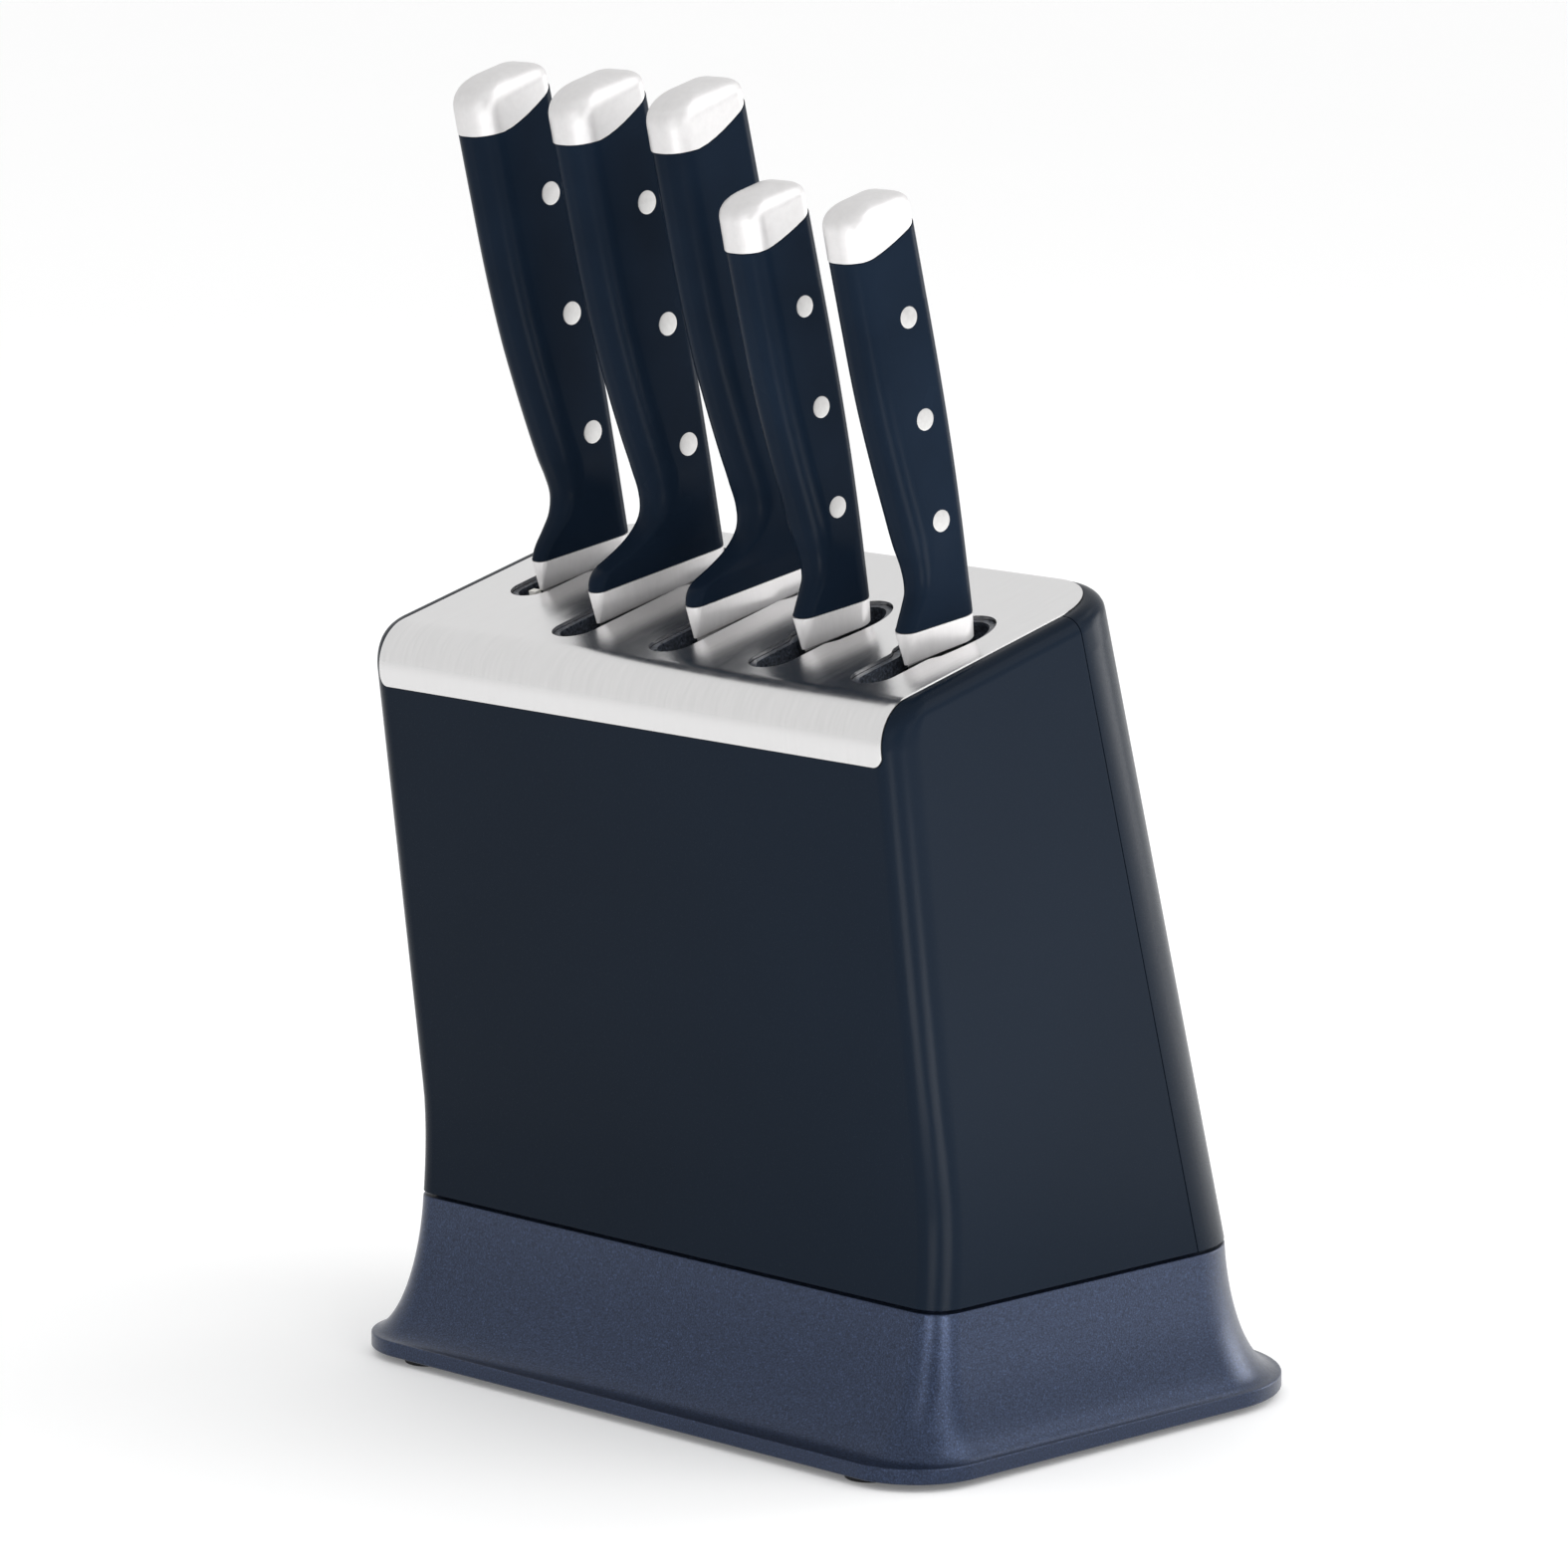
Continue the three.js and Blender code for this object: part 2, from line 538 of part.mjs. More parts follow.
// Everything above the end cap's joint, moved up by `lift`.
function aboveJoint(knife, lift) {
  const back = spineV(knife.size, knife.size.top);
  const stops = [-REACH, ...[1, 0.65, 0.35, 0.1].map((share) => back - CAP_RISE * share), REACH];
  const points = stops.map((v) => [v, capJoint(knife, v) + lift]);
  return acrossX([...points, [REACH, REACH], [-REACH, REACH]], REACH);
}

// Ring of the end cap's crown: it closes in on a point nearer the spine as it rises by `turn` degrees.
function crownRing(knife, turn) {
  const { size } = knife;
  const section = handleSection(knife, size.top);
  const centre = lerp(section.back, section.front, DOME.centre);
  const reach = Math.cos(turn * degrees) ** DOME.power;
  const rise = Math.sin(turn * degrees) ** DOME.power;
  return eggRing(section, 0).map(({ x, y }) => {
    const start = lerp(size.domeSpine, size.domeBelly, (y - section.back) / (section.front - section.back));
    return new THREE.Vector3(x * reach, lerp(centre, y, reach), lerp(start, size.top, rise));
  });
}

// The full handle with its end cap as one form, domed at the top.
function handleForm(knife) {
  const rings = [...HANDLE_STEPS, knife.size.capBelly].map((u) => eggRing(handleSection(knife, u), u));
  return loft([...rings, ...DOME.turns.map((turn) => crownRing(knife, turn))]);
}

const tangCentre = (knife) => spineV(knife.size, knife.size.rivets[1]) - knife.size.rivetInset;

function box(halfX, vLow, vHigh, uLow, uHigh) {
  const geometry = new THREE.BoxGeometry(2 * halfX, vHigh - vLow, uHigh - uLow);
  return toSolid(geometry.translate(0, (vLow + vHigh) / 2, (uLow + uHigh) / 2));
}

function rivetSolid(knife, u, radius, halfLength) {
  const geometry = new THREE.CylinderGeometry(radius, radius, 2 * halfLength, RIVET_SIDES);
  return toSolid(geometry.rotateZ(Math.PI / 2).translate(0, tangCentre(knife), u));
}

const rivetHoles = (knife) => knife.size.rivets
  .map((u) => rivetSolid(knife, u, knife.size.rivetRadius + GAP / 2, knife.size.half + PAST));

function tangSolid(knife, grow) {
  const centre = tangCentre(knife);
  const { tangHalf, capBelly } = knife.size;
  const tangTop = capBelly + TANG_INTO_CAP + grow;
  return box(TANG_HALF + grow, centre - tangHalf - grow, centre + tangHalf + grow, 0, tangTop);
}

function handleSolid(knife) {
  const body = handleForm(knife).subtract(aboveJoint(knife, -GAP / 2));
  const above = box(REACH, -REACH, REACH, BOLSTER_TOP + GAP, REACH);
  return cutAll(body.intersect(above), [tangSolid(knife, GAP), ...rivetHoles(knife)]);
}

function endCapSolid(knife) {
  return handleForm(knife).intersect(aboveJoint(knife, GAP / 2)).subtract(tangSolid(knife, GAP));
}

// Bolster: the handle's section drawn in towards its foot, whose nose stands in the slot.
function bolsterSolid(knife) {
  const top = handleSection(knife, BOLSTER_TOP);
  const { half, edgeHalf, radius, edgeRadius, backHeight, noseHeight } = BOLSTER_FOOT;
  const foot = {
    back: top.back - BOLSTER_FOOT.in,
    front: top.front,
    backHalf: half,
    frontHalf: edgeHalf,
    backRadius: radius,
    frontRadius: edgeRadius,
  };
  const footRing = eggRing(foot, 0).map(({ x, y }) => {
    const plate = PLATE_AT_KNIFE.u + PLATE_AT_KNIFE.slope * y;
    const share = (foot.back - y) / (foot.back - foot.front);
    return new THREE.Vector3(x, y, plate + lerp(backHeight, noseHeight, share));
  });
  return loft([footRing, eggRing(top, BOLSTER_TOP)]);
}

// Blade outline as [v, u]: straight spine, edge that sweeps to the tip over the last `tip` mm.
function bladeOutline(knife) {
  const { length, tip, drop } = knife.blade;
  const heel = curveAt(knife.front, BOLSTER_TOP) + BLADE_INSET.edge;
  const spine = spineV(knife.size, BOLSTER_TOP) - BLADE_INSET.spine;
  const point = lerp(heel, spine, drop);
  const foot = BLADE_ROOT - length;
  const insideBolster = BOLSTER_TOP / 2;
  const points = [[spine, insideBolster], [heel, insideBolster]];
  for (let i = 0; i <= BELLY_STEPS; i++) {
    const t = i / BELLY_STEPS;
    points.push([lerp(heel, point, t ** BELLY_POWER), lerp(foot + tip, foot, t)]);
  }
  const back = ((1 - drop) * tip) / 2; // how far the spine curves down to meet the tip
  points.push([lerp(point, spine, 0.7), foot + 1 + back / 4]);
  points.push([spine, foot + 6 + back]);
  return points;
}

function bladeSolid(knife) {
  const outline = bladeOutline(knife);
  const heel = outline[1][0];
  const spine = outline[0][0];
  const shape = new THREE.Shape(outline.map(([v, u]) => new THREE.Vector2(v, u)));
  const geometry = new THREE.ExtrudeGeometry(shape, { depth: 1, bevelEnabled: false });
  const { position } = geometry.attributes;
  for (let i = 0; i < position.count; i++) {
    const v = position.getX(i);
    const u = position.getY(i);
    const half = lerp(BLADE_EDGE_HALF, BLADE_SPINE_HALF, (v - heel) / (spine - heel));
    position.setXYZ(i, position.getZ(i) > 0.5 ? half : -half, v, u);
  }
  return toSolid(geometry);
}

// Blade, bolster and tang are one forging.
function forgedSolid(knife) {
  return cutAll(joinAll([bladeSolid(knife), bolsterSolid(knife), tangSolid(knife, 0)]), rivetHoles(knife));
}

// ================= Guides and sharpeners =================

// Open-ended channel under a slot that keeps the blade from its neighbours.
function guideSolid(knife) {
  const outline = bladeOutline(knife);
  const front = outline[1][0] - GUIDE.ahead;
  const back = outline[0][0] + GUIDE.behind;
  const bottom = BLADE_ROOT - knife.blade.length - GUIDE.below;
  const outer = box(GUIDE.inner + GUIDE.wall, front - GUIDE.wall, back + GUIDE.wall, bottom, GUIDE.top);
  return outer.subtract(box(GUIDE.inner, front, back, bottom - PAST, GUIDE.top + PAST));
}

// Ceramic block ahead of the edge, with a notch that the edge is drawn through.
// In the first slot its tip reaches up to the collar.
function sharpenerSolid(knife) {
  const edge = bladeOutline(knife)[1][0];
  const { half, front, notch, notchHalf, apex, shoulder, bottom, tipHalf, tipFront, tipBack } = SHARPENER;
  const mouth = edge + notch;
  const vee = prism([[-half, edge - front], [half, edge - front], [half, mouth], [notchHalf, mouth],
    [0, edge - apex], [-notchHalf, mouth], [-half, mouth]], bottom, shoulder);
  if (knife.ceramicTip === undefined) return vee;
  return vee.add(box(tipHalf, edge - tipFront, edge - tipBack, shoulder - PAST, knife.ceramicTip));
}

// ================= Assembly =================

addMesh(group, 'base_plinth', plinthSolid(), paint.plinth);
addMesh(group, 'bottom_cover', bottomCoverSolid(), paint.insert);

const footPlaces = [[-FOOT.frontX, FOOT.frontY], [FOOT.frontX, FOOT.frontY], [FOOT.backX, FOOT.backY],
  [-FOOT.backX, FOOT.backY]];
footPlaces.forEach(([x, y], i) => {
  addMesh(group, `foot_${i + 1}`, post(FOOT.radius, x, y, 0, FOOT.height, FOOT.sides), paint.rubber);
});
screwPlaces().forEach(([x, y], i) => addMesh(group, `base_screw_${i + 1}`, screwSolid(x, y), paint.steel));

const housing = housingSolid();
addMesh(group, 'front_shell', housing.intersect(partingHalf(-1)), paint.shell);
addMesh(group, 'rear_cover', housing.intersect(partingHalf(1)), paint.shell);
addMesh(group, 'top_plate', plateSolid(), paint.steel);
addMesh(group, 'slot_frame', slotFrameSolid(), paint.insert);

KNIVES.forEach((knife, index) => {
  const place = new THREE.Group();
  place.position.set(knifeX(index), KNIFE_ORIGIN.y, KNIFE_ORIGIN.z);
  place.rotation.x = KNIFE_LEAN;
  group.add(place);

  addMesh(place, `blade_guide_${index + 1}`, guideSolid(knife), paint.insert);
  addMesh(place, `sharpener_${index + 1}`, sharpenerSolid(knife), paint.ceramic);
  addMesh(place, `${knife.name}_blade`, forgedSolid(knife), paint.steel);
  addMesh(place, `${knife.name}_handle`, handleSolid(knife), paint.handle);
  addMesh(place, `${knife.name}_end_cap`, endCapSolid(knife), paint.steel);
  knife.size.rivets.forEach((u, i) => {
    const rivet = rivetSolid(knife, u, knife.size.rivetRadius, knife.size.half);
    addMesh(place, `${knife.name}_rivet_${i + 1}`, rivet, paint.steel);
  });
});

export default group;
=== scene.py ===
import math

import bpy
from mathutils import Matrix, Quaternion, Vector


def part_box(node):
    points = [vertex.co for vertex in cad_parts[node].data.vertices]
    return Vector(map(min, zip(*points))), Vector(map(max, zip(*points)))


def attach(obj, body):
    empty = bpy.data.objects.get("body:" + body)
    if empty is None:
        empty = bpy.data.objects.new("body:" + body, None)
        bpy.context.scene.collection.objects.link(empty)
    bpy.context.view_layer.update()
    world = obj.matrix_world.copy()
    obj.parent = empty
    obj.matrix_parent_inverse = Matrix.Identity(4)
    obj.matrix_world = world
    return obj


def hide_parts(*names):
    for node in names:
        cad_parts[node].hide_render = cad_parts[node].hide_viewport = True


# Knife block with five knives. Shapes are worked out in millimetres and stored in metres.
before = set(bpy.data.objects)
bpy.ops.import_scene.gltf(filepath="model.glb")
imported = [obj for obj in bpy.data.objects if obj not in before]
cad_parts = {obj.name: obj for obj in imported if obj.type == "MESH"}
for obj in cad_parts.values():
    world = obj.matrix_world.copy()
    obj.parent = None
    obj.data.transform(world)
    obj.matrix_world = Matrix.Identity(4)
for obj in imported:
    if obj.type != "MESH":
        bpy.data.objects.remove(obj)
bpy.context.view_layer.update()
MM = 0.001


def box_mm(node):
    low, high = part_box(node)
    return low / MM, high / MM


def centre_mm(node):
    low, high = box_mm(node)
    return (low + high) / 2


# ---------------- Sizes ----------------

PLINTH_LOW, PLINTH_HIGH = box_mm("base_plinth")
SHELL_LOW, SHELL_HIGH = box_mm("front_shell")
PLATE_HIGH = box_mm("top_plate")[1]

LIP = {
    "half": PLINTH_HIGH.x,
    "front": PLINTH_LOW.y,
    "back": PLINTH_HIGH.y,
    "front_radius": 21.5,
    "back_radius": 38,
}
SEAM_GAP = 1.0
SEAM_Z = SHELL_LOW.z - SEAM_GAP / 2
SEAM = {
    "half": SHELL_HIGH.x,
    "front": -62.9,
    "back": 60.4,
    "front_radius": 8.5,
    "back_radius": 25,
}
LIP_BOTTOM = PLINTH_LOW.z
LIP_TOP = 6.2
LIP_EDGE = 0.55  # rounding of the lip's rim
SEAM_EDGE = 0.4  # rounding of the plinth's upper edge
FLARE_LEAN = 0.12
FLARE_STEPS = 40
PLINTH_WALL = 2.4
FLARE_WALL = 3.4
NECK_INSET = 3.6
NECK_WALL = 1.8
NECK_REACH = 5  # how far the neck goes above the seam and below it
HOLLOW_DROP = 6  # from the seam down to where the hollow starts to flare
FOOT_EDGE = 0.5

TOP_SLOPE = math.radians(14.69)
TOP_Z = 219.47
FRONT_LEAN = math.radians(7.4)
BACK_LEAN = math.radians(15.31)
FRONT_Y = -77.2
PLATE_LOWER_Z = 184.5
BEND_RADIUS = 12
EDGE_RADIUS = 4.4
LEAST_EDGE, LEAST_CORNER = 0.4, 1.2  # smallest roundings of an inner form
SWEEP_HEIGHT = 28.5
SWEEP_DEPTH = 3.95
SWEEP_POWER = 1.6
HOUSING_WALL = 3.2
HOUSING_LOW = SEAM_Z + SEAM_GAP / 2
CUTTER_LOW = HOUSING_LOW - 5
MOULDED_EDGE = 0.3
INNER_STEPS = (8, 8, 10)
COARSE_STEPS = (8, 8, 12)
PARTING_OFFSET = 25.5
PARTING_GAP = 0.35

PLATE_HALF = PLATE_HIGH.x
PLATE_BACK = PLATE_HIGH.y
PLATE_BACK_RADIUS = 21.3
PLATE_CORNER = 3
PLATE_RAISE = 0.3
PLATE_CHAMFER = 0.3
PLATE_EDGE = 0.3
PLATE_THICKNESS = 1.0
PLATE_GAP = 0.22
DECK_DEPTH = PLATE_THICKNESS + 0.3
FRAME_OPENING = {"half": 88, "front": -67, "back": 3, "front_radius": 6, "back_radius": 6}
COLLAR_DROP = 0.7
COLLAR_WALL = 1.8
COLLAR_GAP = 0.2
COLLAR_BOTTOM = -7
DECK_THICKNESS = 4.2
SLOT_HALF = 6.6
LOBE_HALF = 9.9
SLOT_NOSE = 6.5
LOBE_LENGTH = 13.5
WAIST_SHARE = 0.62  # how much of the lobe's extra width the slot has at its waist
WAIST_BACK = 3.2
SLOT_REACH = 20

KNIFE_LEAN = math.radians(12.93)
KNIFE_Y, KNIFE_Z = -6.7, 218.0
BOLSTER_TOP = 5.3
JOINT_GAP = 0.1
GRIP_U = 31
GRIP_EDGE = 0.25
HEEL_STEP, GRIP_STEP = 0.7, 3
CAP_BLEND = 14  # height over which the grip's rings turn to follow the end cap's joint
CAP_RISE = 20
DOME_CENTRE, DOME_POWER = 0.37, 0.78
DOME_TURNS = (0, 2, 5, 9, 14, 20, 27, 34, 41, 48, 55, 62, 69, 76, 82, 87)
RIVET_PROFILE = [(0.02, 0.1), (0.45, 0.09), (0.8, 0.05), (0.93, 0.0), (0.985, -0.1), (1.0, -0.3)]

BLADE_ROOT = -1.6
BLADE_TOP = 1.0  # inside the bolster
BLADE_HEEL_INSET, BLADE_SPINE_INSET = 0.8, 1.2
BLADE_HALF, BLADE_THINNING = 1.1, 0.62  # half the thickness, and what is left of it at the tip
BLADE_SWEEP = 2.2
GROUND_HALF, GROUND_HEIGHT = 0.16, 0.9  # the blade just above its sharpened edge
SPINE_FALL = 6  # least height over which the spine drops to the tip
TOOTH_PITCH, TOOTH_DEPTH, TOOTH_START = 8, 1.1, 12
GREY_STEEL_TOP = BLADE_ROOT - 2

FOOT_SPINE_INSET = 0.6
FOOT_SECTION = (7.3, 0.7, 4.2, 0.65)  # half widths and radii of the bolster's foot, back and front
FOOT_U, FOOT_SLOPE = -0.3, 0.0307
FOOT_LIFT = (0.3, -1.4)  # at the back and at the front

LARGE = {
    "half": 8.2, "tip_half": 3.1, "belly_radius": 6.8, "spine_radius": 4.6,
    "cap_spine": 130.4, "cap_belly": 122.6, "dome_spine": 132.8, "dome_belly": 128.3, "top": 137.3,
    "spine": [(5.3, -2.7), (30, -2.1), (62, -1.7), (95, -2.1), (135, -3.2)],
}
SMALL = {
    "half": 7.8, "tip_half": 3.9, "belly_radius": 6.2, "spine_radius": 4.3,
    "cap_spine": 109, "cap_belly": 103, "dome_spine": 113, "dome_belly": 110.8, "top": 117.3,
    "spine": [(5.3, -22.3), (30, -20.9), (52, -20.3), (80, -20.5), (113.5, -21.6)],
}
WIDE_HEEL = [(5.3, -46.6), (8, -45.7), (10.2, -43), (12, -36.5), (14.5, -29.5), (18.5, -23.8), (24, -21.9),
             (31, -22.6), (40, -24.2), (52, -26), (66, -27.7), (85, -28.9), (104, -29.3), (135, -29.7)]
NARROW_HEEL = [(5.3, -32.4), (7, -31.6), (9, -30), (11.8, -26.8), (15.3, -23.2), (20, -21.1), (25, -21.3),
               (31, -22.6), (40, -24.2), (52, -26), (66, -27.7), (85, -28.9), (104, -29.3), (135, -29.7)]
SMALL_HEEL = [(5.3, -43.6), (7.5, -42.2), (10.5, -40), (14, -37.8), (19.5, -37.2), (26, -38.1), (34, -39.1),
              (48, -40.9), (66, -42.6), (85, -43.3), (113.5, -44)]
LARGE_SLOT = (-60.6, -20.6, 6.3)
SMALL_SLOT = (-60.6, -41.3, -12.6)
KNIVES = [
    {"name": "bread_knife", "size": LARGE, "front": NARROW_HEEL, "slot": (-40.8, -20.6, 6.3),
     "blade": (200, 26, 0.55), "serrated": True},
    {"name": "santoku_knife", "size": LARGE, "front": WIDE_HEEL, "slot": LARGE_SLOT,
     "blade": (178, 55, 0.35), "serrated": False},
    {"name": "chef_knife", "size": LARGE, "front": WIDE_HEEL, "slot": LARGE_SLOT,
     "blade": (200, 150, 0.85), "serrated": False},
    {"name": "utility_knife", "size": SMALL, "front": SMALL_HEEL, "slot": SMALL_SLOT,
     "blade": (140, 70, 0.8), "serrated": False},
    {"name": "paring_knife", "size": SMALL, "front": SMALL_HEEL, "slot": SMALL_SLOT,
     "blade": (90, 55, 0.7), "serrated": False},
]


# ---------------- Mesh helpers ----------------

def lerp(a, b, t):
    return a + (b - a) * t


def clamp(t):
    return min(max(t, 0.0), 1.0)


def smooth(t):
    t = clamp(t)
    return t * t * (3 - 2 * t)


def curve_at(points, u):
    """Value at u of a smooth curve through (u, value) points."""
    last = len(points) - 1
    if u <= points[0][0]:
        return points[0][1]
    if u >= points[last][0]:
        return points[last][1]
    i = next(k for k, point in enumerate(points) if point[0] > u) - 1

    def slope(k):
        a, b = points[max(k - 1, 0)], points[min(k + 1, last)]
        return (b[1] - a[1]) / (b[0] - a[0])

    (u0, v0), (u1, v1) = points[i], points[i + 1]
    span = u1 - u0
    t = (u - u0) / span
    bend = t * (1 - t) ** 2 * slope(i) - t * t * (1 - t) * slope(i + 1)
    return lerp(v0, v1, t * t * (3 - 2 * t)) + span * bend


def new_object(name, points, faces):
    """Object from points in millimetres, still in millimetres."""
    mesh = bpy.data.meshes.new(name)
    mesh.from_pydata([tuple(p) for p in points], [], faces)
    mesh.validate()
    piece = bpy.data.objects.new(name, mesh)
    bpy.context.scene.collection.objects.link(piece)
    return piece


def strips(rings, close=False):
    """Quads between rings of equal length; close joins the last ring to the first."""
    count = len(rings[0])
    rows = len(rings)
    faces = []
    for r in range(rows if close else rows - 1):
        a, b = r * count, ((r + 1) % rows) * count
        for i in range(count):
            j = (i + 1) % count
            faces.append((a + i, a + j, b + j, b + i))
    return faces


def loft(name, rings):
    """Closed surface through rings of equal length."""
    count = len(rings[0])
    faces = strips(rings)
    faces.append(tuple(reversed(range(count))))
    faces.append(tuple(range((len(rings) - 1) * count, len(rings) * count)))
    return new_object(name, [p for ring in rings for p in ring], faces)


def ring_loft(name, rings):
    """Closed surface through rings that come back to the first one, like a tyre."""
    return new_object(name, [p for ring in rings for p in ring], strips(rings, close=True))


def prism(name, outline, low, high):
    return loft(name, [[(x, y, low) for x, y in outline], [(x, y, high) for x, y in outline]])


def rounded(box, segments):
    """Rounded rectangle with its own radius at the front and at the back."""
    corners = [
        (box["half"] - box["front_radius"], box["front"] + box["front_radius"], box["front_radius"], -90),
        (box["half"] - box["back_radius"], box["back"] - box["back_radius"], box["back_radius"], 0),
        (-box["half"] + box["back_radius"], box["back"] - box["back_radius"], box["back_radius"], 90),
        (-box["half"] + box["front_radius"], box["front"] + box["front_radius"], box["front_radius"], 180),
    ]
    points = []
    for x, y, radius, start in corners:
        for i in range(segments + 1):
            angle = math.radians(start + 90 * i / segments)
            points.append((x + radius * math.cos(angle), y + radius * math.sin(angle)))
    return points


def inset(box, t):
    return {
        "half": box["half"] - t,
        "front": box["front"] + t,
        "back": box["back"] - t,
        "front_radius": max(box["front_radius"] - t, 1),
        "back_radius": max(box["back_radius"] - t, 1),
    }


def blend(a, b, t):
    return {key: lerp(a[key], b[key], t) for key in a}


def evaluated(piece):
    """Swaps a piece's mesh for what its modifiers make of it."""
    graph = bpy.context.evaluated_depsgraph_get()
    made = bpy.data.meshes.new_from_object(piece.evaluated_get(graph))
    piece.modifiers.clear()
    piece.data = made
    return piece


def boolean(piece, operation, tools, keep=False):
    for tool in tools:
        modifier = piece.modifiers.new(operation.lower(), "BOOLEAN")
        modifier.operation = operation
        modifier.solver = "EXACT"
        modifier.object = tool
    evaluated(piece)
    if not keep:
        for tool in tools:
            bpy.data.objects.remove(tool)
    return piece


def soften(piece, width, angle=34, segments=2):
    """Small rounded edges, then smooth faces with sharp edges kept sharp."""
    if width:
        bevel = piece.modifiers.new("edges", "BEVEL")
        bevel.width = width
        bevel.segments = segments
        bevel.limit_method = "ANGLE"
        bevel.angle_limit = math.radians(angle)
        bevel.miter_outer = "MITER_ARC"
        evaluated(piece)
    piece.data.shade_smooth()
    piece.data.set_sharp_from_angle(angle=math.radians(40))
    weighted = piece.modifiers.new("normals", "WEIGHTED_NORMAL")
    weighted.keep_sharp = True
    weighted.weight = 60
    return evaluated(piece)


def place(piece, finish, body, node):
    """Turns a piece into metres, gives it its material and its body, and hides the CAD node it stands for."""
    piece.data.transform(Matrix.Scale(MM, 4))
    piece.data.materials.clear()
    piece.data.materials.append(finish)
    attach(piece, body)
    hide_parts(node)
    return piece


# ---------------- Materials ----------------

class Finish:
    """A Principled material and the nodes that vary it over the surface."""

    def __init__(self, name, metallic=0.0, coat=0.0, coat_roughness=0.1, specular=0.5):
        self.material = bpy.data.materials.new(name)
        self.material.use_nodes = True
        self.nodes = self.material.node_tree.nodes
        self.links = self.material.node_tree.links
        self.shader = self.nodes["Principled BSDF"]
        self.shader.inputs["Metallic"].default_value = metallic
        self.shader.inputs["IOR"].default_value = 1.5
        self.shader.inputs["Coat Weight"].default_value = coat
        self.shader.inputs["Coat Roughness"].default_value = coat_roughness
        self.shader.inputs["Specular IOR Level"].default_value = specular
        self.coordinates = self.nodes.new("ShaderNodeTexCoord")
        self.bump = None

    def noise(self, scale, detail=2.0, stretch=(1, 1, 1), lean=0.0, roughness=0.5):
        """Noise over the piece's own coordinates, so it moves with the piece."""
        turn = self.nodes.new("ShaderNodeMapping")
        turn.inputs["Rotation"].default_value = (-lean, 0, 0)
        mapping = self.nodes.new("ShaderNodeMapping")
        mapping.inputs["Scale"].default_value = stretch
        texture = self.nodes.new("ShaderNodeTexNoise")
        texture.inputs["Scale"].default_value = scale
        texture.inputs["Detail"].default_value = detail
        texture.inputs["Roughness"].default_value = roughness
        self.links.new(self.coordinates.outputs["Object"], turn.inputs["Vector"])
        self.links.new(turn.outputs["Vector"], mapping.inputs["Vector"])
        self.links.new(mapping.outputs["Vector"], texture.inputs["Vector"])
        return texture.outputs["Fac"]

    def ramp(self, source, stops):
        """Colours at places along a 0 to 1 value."""
        ramp = self.nodes.new("ShaderNodeValToRGB")
        elements = ramp.color_ramp.elements
        while len(elements) > 1:
            elements.remove(elements[-1])
        elements[0].position = stops[0][0]
        elements[0].color = (*stops[0][1], 1)
        for position, colour in stops[1:]:
            elements.new(position).color = (*colour, 1)
        self.links.new(source, ramp.inputs["Fac"])
        return ramp.outputs["Color"]

    def colour(self, source, stops):
        self.links.new(self.ramp(source, stops), self.shader.inputs["Base Color"])

    def rough(self, source, low, high, start=0.3, end=0.7):
        span = self.nodes.new("ShaderNodeMapRange")
        span.inputs["From Min"].default_value = start
        span.inputs["From Max"].default_value = end
        span.inputs["To Min"].default_value = low
        span.inputs["To Max"].default_value = high
        self.links.new(source, span.inputs["Value"])
        self.links.new(span.outputs["Result"], self.shader.inputs["Roughness"])

    def relief(self, source, strength, distance):
        """Adds a layer of bump, distance in metres."""
        bump = self.nodes.new("ShaderNodeBump")
        bump.inputs["Strength"].default_value = strength
        bump.inputs["Distance"].default_value = distance
        self.links.new(source, bump.inputs["Height"])
        if self.bump is not None:
            self.links.new(self.bump.outputs["Normal"], bump.inputs["Normal"])
        self.bump = bump
        self.links.new(bump.outputs["Normal"], self.shader.inputs["Normal"])


def shade(colour, factor):
    return tuple(c * factor for c in colour)


def housing_finish():
    """Soft dark navy moulding with a very fine spark texture."""
    navy = (0.0056, 0.0102, 0.0184)
    finish = Finish("housing_navy", specular=0.048)
    broad = finish.noise(9, 3)
    finish.colour(broad, [(0.3, shade(navy, 0.94)), (0.7, shade(navy, 1.08))])
    grain = finish.noise(2600, 2)
    finish.rough(grain, 0.24, 0.28)
    finish.relief(grain, 0.1, 0.00005)
    return finish.material


def plinth_finish():
    """Navy metallic lacquer with fine flake."""
    navy = (0.0218, 0.0330, 0.0660)
    finish = Finish("plinth_lacquer", metallic=0.7, coat=0.06, coat_roughness=0.25)
    flake = finish.noise(2100, 2, roughness=0.7)
    stops = [(0.3, shade(navy, 0.5)), (0.5, navy), (0.62, shade(navy, 1.45)), (0.74, shade(navy, 2.6))]
    finish.colour(flake, stops)
    finish.rough(finish.noise(900, 2), 0.3, 0.36)
    finish.relief(flake, 0.2, 0.00008)
    return finish.material


def plate_finish():
    """Satin stainless sheet with very fine brushing from front to back."""
    finish = Finish("plate_steel", metallic=1.0)
    brushed = finish.noise(900, 2, (1, 0.1, 0.1), roughness=0.6)
    finish.colour(brushed, [(0.3, (0.695, 0.69, 0.69)), (0.7, (0.725, 0.72, 0.72))])
    finish.rough(brushed, 0.20, 0.25)
    finish.relief(brushed, 0.02, 0.000002)
    return finish.material


def forged_finish():
    """Bright satin steel of the bolsters."""
    finish = Finish("forged_steel", metallic=0.42)
    ground = finish.noise(700, 2, (1, 1, 0.2), KNIFE_LEAN, 0.6)
    finish.colour(ground, [(0.3, (0.83, 0.815, 0.815)), (0.7, (0.87, 0.855, 0.855))])
    finish.rough(ground, 0.4, 0.44)
    finish.relief(ground, 0.03, 0.000004)
    return finish.material


